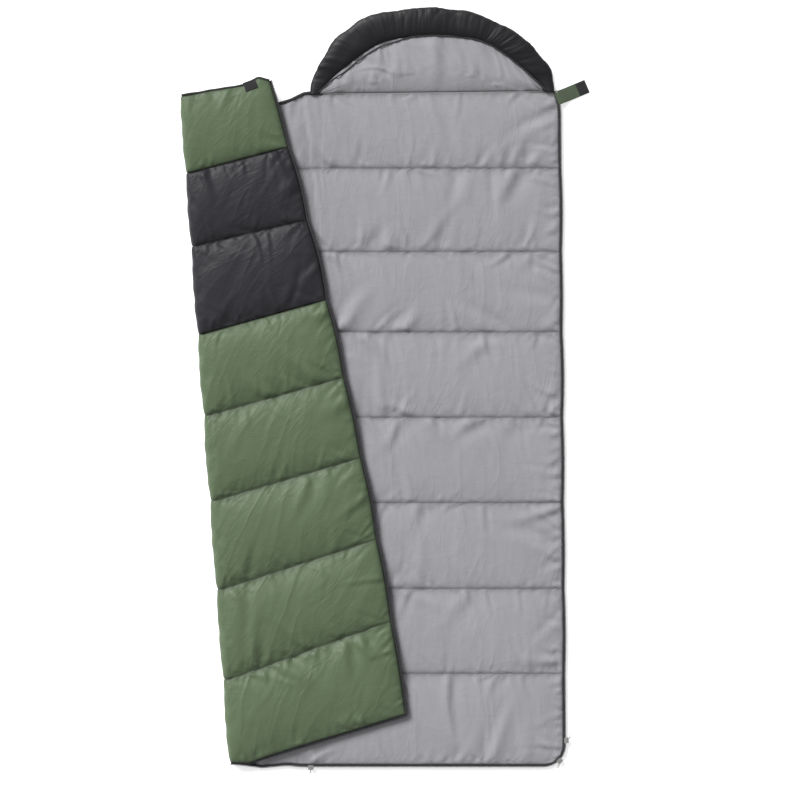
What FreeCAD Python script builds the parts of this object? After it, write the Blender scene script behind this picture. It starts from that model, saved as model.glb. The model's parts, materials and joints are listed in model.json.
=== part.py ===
import FreeCAD, Part
import math
import os

# Hooded rectangular sleeping bag, open, cover folded back over itself.
# Millimetres. X to the bag's right, Y towards the hood, Z up from the ground.
# The origin is the middle of the ground rectangle that the open bag covers.

V = FreeCAD.Vector

# Layers of one quilted panel
PANEL_T = 22.0          # loft of one quilted panel
SHELL_T = 1.5           # outer fabric
LINING_T = 1.0          # inner fabric
FOLD_Z = 22.5           # height of the side seam and of the fold line
LAYER_GAP = 0.5         # clearance from a hinge line to each panel beside it
UPPER_Z = 2 * FOLD_Z    # a panel folded over the fold line reaches this height

# Hinge lines, from the neck end to the foot end
SEAM_TOP = (-178.0, 864.0)
SEAM_FOOT = (-225.8, -1081.0)
FOLD_TOP = (-586.2, 864.0)
FOLD_FOOT = (-442.4, -1082.0)

# Outer edge of the back panel
NECK_LEFT = (-178.0, 863.0)
NECK_RIGHT = (502.0, 871.0)
SHOULDER = (515.0, 822.0)
SIDE_SLOPE = -0.0075    # sideways run of the side edge for each mm towards the hood
FOOT_Y = -1090.0
CORNER_R = 66.0

# Edge finish
EDGE_W = 9.0            # width of the zip half or binding outside the panel
COIL_W = 3.4
COIL_H = 3.6
TAPE_T = 1.0
BACK_ZIP_Z = 12.0
FLAP_ZIP_Z = 30.0
STOP_L = 5.0
STOP_H = 5.0

# Quilting
QUILT_GAP = 4.0         # batting is left out this wide along a quilt line
STITCH_W = 1.2
STITCH_END = 2.0        # a quilt seam stops this far inside the panel's edge
BACK_QUILT_Y = (648.5, 406.7, 173.7, -73.8, -321.3, -570.3, -816.4)
FOLD_QUILT_Y = (633.0, 420.6, 165.3, -68.6, -315.5, -571.7, -833.2)
FLAP_QUILT_END = ((-275.0, 707.8), (-215.7, 497.1), (-162.0, 265.8), (-117.8, 41.1),
                  (-71.2, -192.2), (-19.1, -426.4), (30.4, -658.6))
BAND_FIRST = 0          # the black band runs from this quilt line
BAND_LAST = 2           # to this one

# Hood: two three-centred arches standing on the neck line
HOOD_X = 144.8
HOOD_Y = 868.0
RIM_OUT = (346.0, 245.0, 180.0)    # half width, height, side radius
RIM_IN = (325.0, 165.0, 120.0)
RIM_H = 34.0
RIM_END_H = 22.0        # the rim is only this high near the neck line
RIM_END_Y = 40.0        # up to this far from it
RIM_FULL_Y = 110.0      # and reaches its full height here
RIM_SKIN = 1.5
ELASTIC_D = 4.0
ELASTIC_Z = 14.0
ELASTIC_CHANNEL = 8.0
PIPING_W = 4.0
PIPING_H = 3.0

# Closure tab
TAB_ROOT = (506.3, 851.7)
TAB_ANGLE = 22.9
TAB_L = 90.0
TAB_W = 40.0
TAB_T = 1.5
TAB_START = 5.0
HOOK_L = 30.0
PATCH_T = 1.5
PATCH_MARGIN = 2.0
LOOP_CENTRE = (-386.0, 885.0)
LOOP_SIZE = (37.0, 27.0)
LOOP_ANGLE = 20.0

# Zip slider, in its own frame: x against the closing direction, y outwards, z up
SLIDER_L = 16.0
SLIDER_IN = -5.0
SLIDER_OUT = 8.0
PLATE_T = 1.4
CHANNEL_H = 6.0
LIP_H = 1.9
LIP_W = 1.4
WEDGE_W = 1.3
WEDGE_L = 4.0
WEDGE_IN = 2.3
BRIDGE_Y = 1.5
BRIDGE_SPAN = 7.4
BRIDGE_RISE = 4.2
BRIDGE_BAR = 1.4
BRIDGE_W = 2.0
PULL_BAR = 1.2
PULL_W = 6.4
PULL_LEG = 5.5
PULL_L = 21.0
PULL_EYE_R = 3.6
PULL_HOLE_R = 2.3
SLIDER_ROUND = 2.0

FAR = 3000.0            # longer than the bag, for cutting planes
OVER = 1.0              # a cutting tool stands this far past what it cuts
RUN_ON = 3 * EDGE_W     # an outline runs this far past a hinge line, which then cuts it


# ---------------------------------------------------------------- helpers

def at(point, z=0.0):
    return V(point[0], point[1], z)


def along(line_top, line_foot, y):
    """Point at height y on the straight line from line_top to line_foot."""
    share = (line_top[1] - y) / (line_top[1] - line_foot[1])
    return (line_top[0] + share * (line_foot[0] - line_top[0]), y)


def unit(start, end):
    length = math.hypot(end[0] - start[0], end[1] - start[1])
    return ((end[0] - start[0]) / length, (end[1] - start[1]) / length)


def lines(points):
    """Straight edges through a list of (x, y) points."""
    return [Part.LineSegment(at(a), at(b)).toShape() for a, b in zip(points, points[1:])]


def face_of(edges):
    return Part.Face(Part.Wire(Part.__sortEdges__(edges)))


def polygon(points):
    return face_of(lines(list(points) + [points[0]]))


def raised(face, z_low, z_high):
    """Solid over a flat face, from z_low to z_high."""
    lifted = face.copy()
    lifted.translate(V(0, 0, z_low))
    return lifted.extrude(V(0, 0, z_high - z_low))


def inset(shape, distance):
    """A flat shape's single face with its edge moved in."""
    return shape.Faces[0].makeOffset2D(-distance, 2)


def ring(face, outer, inner):
    """Band of a face between two distances in from its edge."""
    outside = inset(face, outer) if outer > 0 else face
    return outside.cut(inset(face, inner))


def box(x_low, x_high, y_low, y_high, z_low, z_high):
    return Part.makeBox(x_high - x_low, y_high - y_low, z_high - z_low, V(x_low, y_low, z_low))


def strip(start, end, width, beyond=60.0):
    """Flat band along a line, running beyond both of its ends."""
    ux, uy = unit(start, end)
    half = width / 2
    corners = []
    for point, reach, side in ((start, -beyond, half), (end, beyond, half),
                               (end, beyond, -half), (start, -beyond, -half)):
        corners.append((point[0] + ux * reach - uy * side, point[1] + uy * reach + ux * side))
    return polygon(corners)


def side_of(line_top, line_foot, sign, gap):
    """Half plane to the right (sign 1) or left (-1) of a hinge line, gap clear of it."""
    near = sign * gap
    far = sign * FAR
    top = along(line_top, line_foot, FAR)
    foot = along(line_top, line_foot, -FAR)
    return polygon([(top[0] + near, top[1]), (top[0] + far, top[1]),
                    (foot[0] + far, foot[1]), (foot[0] + near, foot[1])])


def save(name, shape):
    shape.exportStep(os.path.join("parts", name + ".step"))
    print(name, len(shape.Solids), "solids,", round(shape.Volume / 1000.0, 1), "cm3")


# ---------------------------------------------------------------- quilted panels

def quilt_bands(quilt_lines, width):
    return [strip(start, end, width) for start, end in quilt_lines]


def batting(face, quilt_lines, z_low, z_high):
    """Padding of a panel: one pad for each channel between quilt lines."""
    pads = raised(face, z_low, z_high)
    gaps = [raised(band, z_low - OVER, z_high + OVER) for band in quilt_bands(quilt_lines, QUILT_GAP)]
    return pads.cut(gaps)


def stitches(face, quilt_lines, z_low, z_high):
    """Stitched seams that join the two fabrics through the gaps in the padding."""
    inner = inset(face, STITCH_END)
    seams = [inner.common(band) for band in quilt_bands(quilt_lines, STITCH_W)]
    return Part.makeCompound([raised(seam, z_low, z_high) for seam in seams])


def above_line(line):
    """Everything on the hood side of a quilt line."""
    ux, uy = unit(line[0], line[1])
    left = (line[0][0] - ux * FAR, line[0][1] - uy * FAR)
    right = (line[1][0] + ux * FAR, line[1][1] + uy * FAR)
    return polygon([left, right, (right[0], right[1] + 2 * FAR), (left[0], left[1] + 2 * FAR)])


def save_shell(name, face, quilt_lines, z_low):
    """Outer fabric in three colour bands, cut along two of the quilt lines."""
    above_band = above_line(quilt_lines[BAND_FIRST])
    above_main = above_line(quilt_lines[BAND_LAST])
    pieces = (("top", face.common(above_band)),
              ("band", face.cut(above_band).common(above_main)),
              ("main", face.cut(above_main)))
    for band, piece in pieces:
        save(name + "_shell_" + band, raised(piece, z_low, z_low + SHELL_T))


def back_quilt_lines():
    return [(along(SEAM_TOP, SEAM_FOOT, y), (SHOULDER[0], y)) for y in BACK_QUILT_Y]


def side_quilt_lines():
    pairs = zip(FOLD_QUILT_Y, BACK_QUILT_Y)
    return [(along(FOLD_TOP, FOLD_FOOT, y), along(SEAM_TOP, SEAM_FOOT, y_seam)) for y, y_seam in pairs]


def flap_quilt_lines():
    return [(along(FOLD_TOP, FOLD_FOOT, y), end) for y, end in zip(FOLD_QUILT_Y, FLAP_QUILT_END)]


# ---------------------------------------------------------------- back panel

def side_edge_point(y):
    return (SHOULDER[0] + SIDE_SLOPE * (y - SHOULDER[1]), y)


def corner_centre():
    """Centre of the foot corner's arc, tangent to the side edge and the foot edge."""
    lean = math.atan(-SIDE_SLOPE)
    y = FOOT_Y + CORNER_R
    edge = side_edge_point(y)
    return (edge[0] - CORNER_R / math.cos(lean), y)


def corner_point(angle_deg, radius=CORNER_R):
    """Point on the foot corner's arc; 0 degrees is outwards, -90 towards the foot."""
    centre = corner_centre()
    turn = math.radians(angle_deg)
    return (centre[0] + radius * math.cos(turn), centre[1] + radius * math.sin(turn))


def back_outline():
    """Outer edge of the back panel with its zip half.

    It runs on past the neck and past the side seam, where the panel has no edge finish.
    """
    side_end = corner_point(math.degrees(math.atan(-SIDE_SLOPE)))
    foot_start = corner_point(-90)
    top = NECK_RIGHT[1] + RUN_ON
    lead = unit(SHOULDER, NECK_RIGHT)
    rise = (top - SHOULDER[1]) / lead[1]
    top_right = (SHOULDER[0] + lead[0] * rise, top)
    left = SEAM_FOOT[0] - RUN_ON
    edges = lines([foot_start, (left, FOOT_Y), (left, top), top_right, SHOULDER, side_end])
    edges.append(Part.Arc(at(side_end), at(corner_point(-45)), at(foot_start)).toShape())
    return face_of(edges)


def below_neck(gap):
    """Everything on the foot's side of the neck line."""
    ux, uy = unit(NECK_LEFT, NECK_RIGHT)
    left = (NECK_LEFT[0] - ux * FAR, NECK_LEFT[1] - uy * FAR - gap)
    right = (NECK_RIGHT[0] + ux * FAR, NECK_RIGHT[1] + uy * FAR - gap)
    return polygon([left, right, (FAR, -FAR), (-FAR, -FAR)])


def save_back_panel():
    outline = back_outline()
    region = side_of(SEAM_TOP, SEAM_FOOT, 1, LAYER_GAP).common(below_neck(LAYER_GAP))
    face = inset(outline, EDGE_W).common(region)
    quilt = back_quilt_lines()
    lining_z = PANEL_T - LINING_T
    save_shell("back", face, quilt, 0)
    save("back_batting", batting(face, quilt, SHELL_T, lining_z))
    save("back_lining", raised(face, lining_z, PANEL_T))
    save("back_quilt_stitches", stitches(face, quilt, SHELL_T, lining_z))
    tape = ring(outline, COIL_W, EDGE_W).common(region)
    coil = ring(outline, 0, COIL_W).common(region)
    half_tape = TAPE_T / 2
    half_coil = COIL_H / 2
    save("back_zip_tape", raised(tape, BACK_ZIP_Z - half_tape, BACK_ZIP_Z + half_tape))
    coil_solid = raised(coil, BACK_ZIP_Z - half_coil, BACK_ZIP_Z + half_coil)
    ends = back_zip_ends()
    save("back_zip_coil", coil_solid.cut(ends))
    save("back_zip_stops", raised(coil, BACK_ZIP_Z - STOP_H / 2, BACK_ZIP_Z + STOP_H / 2).common(ends))


def back_zip_ends():
    """Boxes round the last few millimetres of the coil at the neck and at the side seam."""
    neck = NECK_RIGHT[1] - LAYER_GAP
    seam = SEAM_FOOT[0] + LAYER_GAP
    at_neck = box(0, FAR, neck - STOP_L, neck + STOP_L, 0, PANEL_T)
    at_seam = box(seam - STOP_L, seam + STOP_L, FOOT_Y - STOP_L, FOOT_Y + EDGE_W, 0, PANEL_T)
    return Part.makeCompound([at_neck, at_seam])


# ---------------------------------------------------------------- cover, side part

def side_outline():
    """Hidden part of the cover, from the side seam to the fold line."""
    seam_top = along(SEAM_TOP, SEAM_FOOT, 852.0)
    points = [(FOLD_TOP[0] - RUN_ON, 866.0), (-431.0, 848.0), (-307.0, 840.0), (-232.0, 859.0),
              seam_top, (seam_top[0] + RUN_ON, 850.0),
              (SEAM_FOOT[0] + RUN_ON, -1079.0), (SEAM_FOOT[0], -1081.0), (-353.0, -1093.0),
              (FOLD_FOOT[0] - RUN_ON, -1078.0)]
    return polygon(points)


def save_cover_side():
    outline = side_outline()
    region = side_of(SEAM_TOP, SEAM_FOOT, -1, LAYER_GAP).common(side_of(FOLD_TOP, FOLD_FOOT, 1, LAYER_GAP))
    face = inset(outline, EDGE_W).common(region)
    quilt = side_quilt_lines()
    lining_z = PANEL_T - LINING_T
    save_shell("side", face, quilt, 0)
    save("side_batting", batting(face, quilt, SHELL_T, lining_z))
    save("side_lining", raised(face, lining_z, PANEL_T))
    save("side_quilt_stitches", stitches(face, quilt, SHELL_T, lining_z))
    foot_half = polygon([(-FAR, 0), (FAR, 0), (FAR, -FAR), (-FAR, -FAR)])
    save_edges("side", outline, region, 0, BACK_ZIP_Z, foot_half)


def save_edges(name, outline, region, z_low, zip_z, zip_region):
    """Zip half on the part of an outline in zip_region, folded binding on the rest."""
    clipped = region.common(zip_region)
    tape = ring(outline, COIL_W, EDGE_W).common(clipped)
    coil = ring(outline, 0, COIL_W).common(clipped)
    binding = ring(outline, 0, EDGE_W).common(region).cut(zip_region)
    half_tape = TAPE_T / 2
    half_coil = COIL_H / 2
    save(name + "_zip_tape", raised(tape, zip_z - half_tape, zip_z + half_tape))
    save(name + "_zip_coil", raised(coil, zip_z - half_coil, zip_z + half_coil))
    save(name + "_neck_binding", raised(binding, z_low, z_low + PANEL_T))


# ---------------------------------------------------------------- cover, folded flap

def flap_outline():
    """Flap of the cover that lies folded back on top, shell up."""
    zip_top = (-324.2, 906.0)
    zip_middle = (-104.2, 24.6)
    zip_foot = (72.4, -939.4)
    left_top = (FOLD_TOP[0] - RUN_ON, 859.5)
    left_foot = (FOLD_FOOT[0] - RUN_ON, -1082.0)
    edges = lines([zip_foot, (-399.5, -1082.0), left_foot, left_top,
                   (-408.2, 893.0), (-364.8, 916.0), zip_top])
    edges.append(Part.Arc(at(zip_top), at(zip_middle), at(zip_foot)).toShape())
    return face_of(edges)


def flap_zip_region():
    """Zip edge and foot edge of the flap; its neck edge is bound instead."""
    return polygon([(-FAR, 0), (-250, 0), (-322.5, 899.0), (-322.5, FAR),
                    (FAR, FAR), (FAR, -FAR), (-FAR, -FAR)])


def save_cover_flap():
    outline = flap_outline()
    region = side_of(FOLD_TOP, FOLD_FOOT, 1, LAYER_GAP)
    face = inset(outline, EDGE_W).common(region)
    quilt = flap_quilt_lines()
    low = UPPER_Z - PANEL_T
    lining_top = low + LINING_T
    shell_low = UPPER_Z - SHELL_T
    save_shell("flap", face, quilt, shell_low)
    save("flap_batting", batting(face, quilt, lining_top, shell_low))
    save("flap_lining", raised(face, low, lining_top))
    save("flap_quilt_stitches", stitches(face, quilt, lining_top, shell_low))
    save_edges("flap", outline, region, low, FLAP_ZIP_Z, flap_zip_region())
    save("flap_loop_patch", loop_patch())


def loop_patch():
    """Soft half of the closure, sewn on the flap's shell near its neck edge."""
    length, width = LOOP_SIZE
    patch = box(-length / 2, length / 2, -width / 2, width / 2, UPPER_Z, UPPER_Z + PATCH_T)
    patch.rotate(V(0, 0, 0), V(0, 0, 1), LOOP_ANGLE)
    patch.translate(at(LOOP_CENTRE))
    return patch


# ---------------------------------------------------------------- hood

def arch_edges(half_width, height, side_radius, base=0.0):
    """Three tangent arcs from the right foot of an arch over to its left foot."""
    reach = half_width - side_radius
    crown = (reach ** 2 + height ** 2 - side_radius ** 2) / (2 * (height - side_radius))
    crown_y = height - crown
    tilt = math.atan2(-crown_y, reach)
    join = (reach + side_radius * math.cos(tilt), side_radius * math.sin(tilt))
    middle = (reach + side_radius * math.cos(tilt / 2), side_radius * math.sin(tilt / 2))

    def place(x, y):
        return V(HOOD_X + x, HOOD_Y + y, base)

    right = Part.Arc(place(half_width, 0), place(middle[0], middle[1]), place(join[0], join[1]))
    top = Part.Arc(place(join[0], join[1]), place(0, height), place(-join[0], join[1]))
    left = Part.Arc(place(-join[0], join[1]), place(-middle[0], middle[1]), place(-half_width, 0))
    return [right.toShape(), top.toShape(), left.toShape()]


def arch_face(arch, grow=0.0):
    """Face under an arch, carried down past the neck line; grow moves its edge out."""
    half_width, height, side_radius = (size + grow for size in arch)
    left = HOOD_X - half_width
    right = HOOD_X + half_width
    base = lines([(left, HOOD_Y), (left, HOOD_Y - 40), (right, HOOD_Y - 40), (right, HOOD_Y)])
    return face_of(arch_edges(half_width, height, side_radius) + base)


def above_neck(gap):
    """Everything on the hood's side of the neck line."""
    ux, uy = unit(NECK_LEFT, NECK_RIGHT)
    left = (NECK_LEFT[0] - ux * FAR, NECK_LEFT[1] - uy * FAR + gap)
    right = (NECK_RIGHT[0] + ux * FAR, NECK_RIGHT[1] + uy * FAR + gap)
    return polygon([left, right, (FAR, FAR), (-FAR, FAR)])


def save_hood():
    region = above_neck(LAYER_GAP)
    inside = arch_face(RIM_IN).common(region)
    outside = arch_face(RIM_OUT).common(region)
    lining_z = PANEL_T - LINING_T
    save("hood_shell", raised(inside, 0, SHELL_T))
    save("hood_batting", raised(inside, SHELL_T, lining_z))
    save("hood_lining", raised(inside, lining_z, PANEL_T))
    piping = inside.cut(arch_face(RIM_IN, -PIPING_W))
    save("hood_piping", raised(piping, PANEL_T, PANEL_T + PIPING_H))
    save_rim(outside.cut(inside))


def over_rim(lower):
    """Space above the rim, which is lower near its two ends; lower sinks that surface."""
    low = RIM_END_H - lower
    high = RIM_H - lower
    start = HOOD_Y - 2 * RIM_END_Y
    profile = [(start, low), (HOOD_Y + RIM_END_Y, low), (HOOD_Y + RIM_FULL_Y, high),
               (HOOD_Y + FAR, high), (HOOD_Y + FAR, FAR), (start, FAR)]
    corners = [V(-FAR, y, z) for y, z in profile]
    return Part.Face(Part.makePolygon(corners + [corners[0]])).extrude(V(2 * FAR, 0, 0))


def save_rim(crescent):
    """Rolled rim: a fabric tube with its own padding and an elastic in a channel."""
    end_gap = above_neck(LAYER_GAP + RIM_SKIN)
    skin_inside = arch_face(RIM_OUT, -RIM_SKIN).common(end_gap)
    hollow = skin_inside.cut(arch_face(RIM_IN, RIM_SKIN))
    pad = skin_inside.cut(arch_face(RIM_IN, RIM_SKIN + ELASTIC_CHANNEL))
    outside = raised(crescent, 0, RIM_H).cut(over_rim(0))
    inside = raised(hollow, RIM_SKIN, RIM_H).cut(over_rim(RIM_SKIN))
    save("rim_cover", outside.cut(inside))
    save("rim_batting", raised(pad, RIM_SKIN, RIM_H).cut(over_rim(RIM_SKIN)))
    save("rim_elastic", rim_elastic())


def rim_elastic():
    """Round elastic that gathers the rim, whole from end to end inside its channel."""
    grow = RIM_SKIN + ELASTIC_CHANNEL / 2
    half_width, height, side_radius = (size + grow for size in RIM_IN)
    path = Part.Wire(arch_edges(half_width, height, side_radius, ELASTIC_Z))
    start = V(HOOD_X + half_width, HOOD_Y, ELASTIC_Z)
    section = Part.Wire(Part.makeCircle(ELASTIC_D / 2, start, V(0, 1, 0)))
    cord = path.makePipeShell([section], True, False)
    print("elastic radii", round(side_radius, 1), "and volume over section times length",
          round(cord.Volume / (math.pi * ELASTIC_D ** 2 / 4 * path.Length), 4))
    clear = raised(above_neck(LAYER_GAP + RIM_SKIN), -OVER, RIM_H)
    return cord.common(clear)


# ---------------------------------------------------------------- closure tab

def on_tab(shape):
    shape.rotate(V(0, 0, 0), V(0, 0, 1), TAB_ANGLE)
    shape.translate(at(TAB_ROOT))
    return shape


def save_tab():
    half = TAB_W / 2
    save("tab_strap", on_tab(box(TAB_START, TAB_L, -half, half, 0, TAB_T)))
    inside = half - PATCH_MARGIN
    patch = box(TAB_L - HOOK_L, TAB_L - PATCH_MARGIN, -inside, inside, TAB_T, TAB_T + PATCH_T)
    save("tab_hook_patch", on_tab(patch))


# ---------------------------------------------------------------- zip sliders

def slider_body():
    """Two plates, lips round the zip tape and a wedge that parts the two coils."""
    half_l = SLIDER_L / 2
    half_h = CHANNEL_H / 2
    top = half_h + PLATE_T
    pieces = [box(-half_l, half_l, SLIDER_IN, SLIDER_OUT, half_h, top),
              box(-half_l, half_l, SLIDER_IN, SLIDER_OUT, -top, -half_h)]
    for y_low in (SLIDER_IN, SLIDER_OUT - LIP_W):
        pieces.append(box(-half_l, half_l, y_low, y_low + LIP_W, half_h - LIP_H, half_h))
        pieces.append(box(-half_l, half_l, y_low, y_low + LIP_W, -half_h, LIP_H - half_h))
    pieces.append(box(-half_l, WEDGE_L - half_l, WEDGE_IN, WEDGE_IN + WEDGE_W, -half_h, half_h))
    body = pieces[0].multiFuse(pieces[1:]).removeSplitter()
    upright = [edge for edge in body.Edges if is_outer_corner(edge, half_l)]
    return body.makeFillet(SLIDER_ROUND, upright)


def is_outer_corner(edge, half_l):
    """Upright edges at the four corners of the two plates and their lips."""
    ends = [vertex.Point for vertex in edge.Vertexes]
    upright = math.hypot(ends[0].x - ends[-1].x, ends[0].y - ends[-1].y) < 0.01
    at_end = abs(abs(ends[0].x) - half_l) < 0.01
    at_side = abs(ends[0].y - SLIDER_IN) < 0.01 or abs(ends[0].y - SLIDER_OUT) < 0.01
    return upright and at_end and at_side


def slider_bridge():
    """Small arch on the top plate that the pull hangs on."""
    foot = CHANNEL_H / 2 + PLATE_T
    y_low = BRIDGE_Y - BRIDGE_SPAN / 2
    y_high = BRIDGE_Y + BRIDGE_SPAN / 2
    half = BRIDGE_W / 2
    arch = box(-half, half, y_low, y_high, foot, foot + BRIDGE_RISE)
    hole_top = foot + BRIDGE_RISE - BRIDGE_BAR
    hole = box(-half - OVER, half + OVER, y_low + BRIDGE_BAR, y_high - BRIDGE_BAR, foot - OVER, hole_top)
    return arch.cut(hole)


def pull_pivot_z():
    return CHANNEL_H / 2 + PLATE_T + (BRIDGE_RISE - BRIDGE_BAR) / 2


def slider_pull():
    """Pull: a cross bar under the bridge, two legs past it, a neck and a round eye."""
    z = pull_pivot_z()
    low = z - PULL_BAR / 2
    high = z + PULL_BAR / 2
    half_w = PULL_W / 2
    bar = box(-half_w, half_w, BRIDGE_Y - PULL_BAR / 2, BRIDGE_Y + PULL_BAR / 2, low, high)
    link = box(-half_w, half_w, BRIDGE_Y, BRIDGE_Y + PULL_LEG + PULL_BAR, low, high)
    window = box(PULL_BAR - half_w, half_w - PULL_BAR, BRIDGE_Y, BRIDGE_Y + PULL_LEG, low - OVER, high + OVER)
    eye_y = BRIDGE_Y + PULL_L - PULL_EYE_R
    neck = box(-PULL_BAR, PULL_BAR, BRIDGE_Y + PULL_LEG, eye_y, low, high)
    eye = Part.makeCylinder(PULL_EYE_R, PULL_BAR, V(0, eye_y, low))
    hole = Part.makeCylinder(PULL_HOLE_R, PULL_BAR + 2 * OVER, V(0, eye_y, low - OVER))
    return link.cut(window).multiFuse([bar, neck, eye]).cut(hole).removeSplitter()


def placed(shape, centre, outward_deg, yaw_deg=0.0):
    """A slider piece moved to its zip, its own y axis turned outwards."""
    shape.rotate(V(0, BRIDGE_Y, 0), V(0, 0, 1), yaw_deg)
    shape.rotate(V(0, 0, 0), V(0, 0, 1), outward_deg - 90.0)
    shape.translate(at(centre, BACK_ZIP_Z))
    return shape


def slider_places():
    """Name, place of the coil's middle, outward direction and turn of the pull."""
    half_coil = COIL_W / 2
    side = side_edge_point(-1011.0)
    side_deg = math.degrees(math.atan(-SIDE_SLOPE))
    corner = corner_point(-45, CORNER_R - half_coil)
    foot = (-212.0, FOOT_Y + half_coil)
    return (("side_slider", (side[0] - half_coil, side[1]), side_deg, 42.0),
            ("corner_slider", corner, -45.0, -60.0),
            ("foot_slider", foot, -90.0, -6.0))


def save_sliders():
    for name, centre, outward_deg, yaw_deg in slider_places():
        save(name + "_body", placed(slider_body(), centre, outward_deg))
        save(name + "_bridge", placed(slider_bridge(), centre, outward_deg, yaw_deg))
        save(name + "_pull", placed(slider_pull(), centre, outward_deg, yaw_deg))


def main():
    os.makedirs("parts", exist_ok=True)
    save_back_panel()
    save_cover_side()
    save_cover_flap()
    save_hood()
    save_tab()
    save_sliders()


main()
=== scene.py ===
"""Hooded quilted sleeping bag, open, with its cover folded back: the look of every piece."""
import json
import math

import bpy
import numpy as np
from bpy.props import FloatProperty, FloatVectorProperty, IntProperty, PointerProperty
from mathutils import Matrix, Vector

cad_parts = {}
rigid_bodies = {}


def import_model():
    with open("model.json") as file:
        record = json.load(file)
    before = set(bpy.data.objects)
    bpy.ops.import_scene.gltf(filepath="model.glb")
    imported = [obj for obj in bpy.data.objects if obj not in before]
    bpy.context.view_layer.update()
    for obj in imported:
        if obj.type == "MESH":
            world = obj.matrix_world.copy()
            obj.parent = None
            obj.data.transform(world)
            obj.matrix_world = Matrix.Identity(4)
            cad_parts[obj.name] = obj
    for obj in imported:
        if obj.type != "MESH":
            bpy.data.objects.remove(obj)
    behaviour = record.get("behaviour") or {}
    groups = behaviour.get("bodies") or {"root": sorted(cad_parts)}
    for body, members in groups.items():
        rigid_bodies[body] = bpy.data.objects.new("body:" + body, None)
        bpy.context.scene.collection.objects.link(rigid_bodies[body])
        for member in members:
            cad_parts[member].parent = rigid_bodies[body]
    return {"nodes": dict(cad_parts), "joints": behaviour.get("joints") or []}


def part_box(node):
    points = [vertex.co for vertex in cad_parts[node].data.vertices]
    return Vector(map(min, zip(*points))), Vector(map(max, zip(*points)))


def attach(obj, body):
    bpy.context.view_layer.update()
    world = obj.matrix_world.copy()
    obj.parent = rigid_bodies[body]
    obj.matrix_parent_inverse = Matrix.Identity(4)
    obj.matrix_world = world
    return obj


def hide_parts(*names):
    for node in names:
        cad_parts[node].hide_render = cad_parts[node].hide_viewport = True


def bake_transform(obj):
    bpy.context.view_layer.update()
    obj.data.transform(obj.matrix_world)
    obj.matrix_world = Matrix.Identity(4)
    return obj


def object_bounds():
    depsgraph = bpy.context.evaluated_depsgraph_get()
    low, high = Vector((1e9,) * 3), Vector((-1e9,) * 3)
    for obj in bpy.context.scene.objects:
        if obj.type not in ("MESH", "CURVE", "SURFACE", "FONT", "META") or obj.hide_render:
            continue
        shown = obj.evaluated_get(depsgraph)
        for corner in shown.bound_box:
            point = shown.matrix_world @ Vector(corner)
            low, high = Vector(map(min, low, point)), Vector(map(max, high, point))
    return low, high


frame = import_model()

bl_info = {
    "name": "Quilted Sleeping Bag",
    "version": (1, 0, 0),
    "blender": (4, 5, 0),
    "location": "View3D > Sidebar > Sleeping Bag",
    "description": "Makes the fabric, filling, zips and trims of a hooded quilted sleeping bag",
    "category": "Object",
}

CAD_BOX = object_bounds()
NECK_END_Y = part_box("back_lining")[1].y
MM = 0.001
FLAT = 1e-5             # faces this level belong to one flat face, in metres
UP = np.array((0.0, 0.0, 1.0))

# Layers of the bag, in metres above the ground
BASE_CREST = 0.7 * MM   # underside of the back panel in the middle of a channel
BASE_SEAM = 8.0 * MM    # and at a seam
EDGE_Z = 12.0 * MM      # zip edge of the back panel
LINING_SEAM = 11.5 * MM
LINING_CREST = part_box("back_lining")[1].z
FOLD_Z = next(j for j in frame["joints"] if j["name"] == "cover_unfold")["pos_m"][2]
FLAP_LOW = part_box("flap_lining")[0].z
FLAP_SEAM = 32.5 * MM   # outside of the flap at a seam
FLAP_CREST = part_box("flap_shell_main")[1].z
FLAP_EDGE_Z = (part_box("flap_zip_coil")[0].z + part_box("flap_zip_coil")[1].z) / 2
FLAP_NECK_Z = 34.0 * MM
GUSSET_HALF = 6.0 * MM  # half the width of the strip along the side seam
SEAM_TURN = 12.0 * MM   # the lining turns over the side seam within this far of it
FOLD_INSET = 13.0 * MM  # the folded cover starts to turn under this far from the fold line
FLAP_TOP_LOW = 30.4 * MM    # the flap's outside sinks no lower than this

# Shape of the quilted channels
LINING_STEP = 6.7 * MM  # distance between rows of mesh points in the lining
COVER_STEP = 5.4 * MM   # the same in the cover
HIDDEN_STEP = 14.0 * MM     # the same in pieces that are hardly seen
CROWN_POWER = 0.42      # 1 makes a channel's section a parabola, less makes it fuller
PAD_MARGIN = 4.5 * MM   # wadding stays this far inside its fabric
FLAP_LIFE = (0.6, 1.2, 1, 1.1, 1, 1, 1.2, 1.9)      # how creased each channel of the flap is
BACK_SWELL = (0, 3, 2, 3.5, 2.5, 2, 2.5, 0)     # how far each channel swells its zip edge, in mm
FLAP_SWELL = (2, 5.5, 6.5, 5, 3.5, 5, 4, 2.5)
SIDE_GROOVE = 1.5 * MM  # depth of the crease that the side seam pulls into the lining
DRAG_GROOVE = 4.5 * MM  # depth of the fold that the turned cover drags into the lining
DRAG_START = 66 * MM    # the drag fold starts this far from the side seam
DRAG_END_Y = NECK_END_Y - 0.44

# Zips and tab
ZIP_STEP = 4 * MM       # distance between sections of the zip tape
TAPE_W = 5.6 * MM
TAPE_THICK = 0.9 * MM
TAPE_SEWN = 3 * MM      # width of tape that is sewn in under the fabric
COIL_W = 3.4 * MM
TAB_TAIL = 7 * MM       # length of the tab that is sewn in under the lining
TAB_DROP = 34 * MM      # the tab comes down to the ground over this length


# ---------------------------------------------------------------- sizes and colours to change

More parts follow.
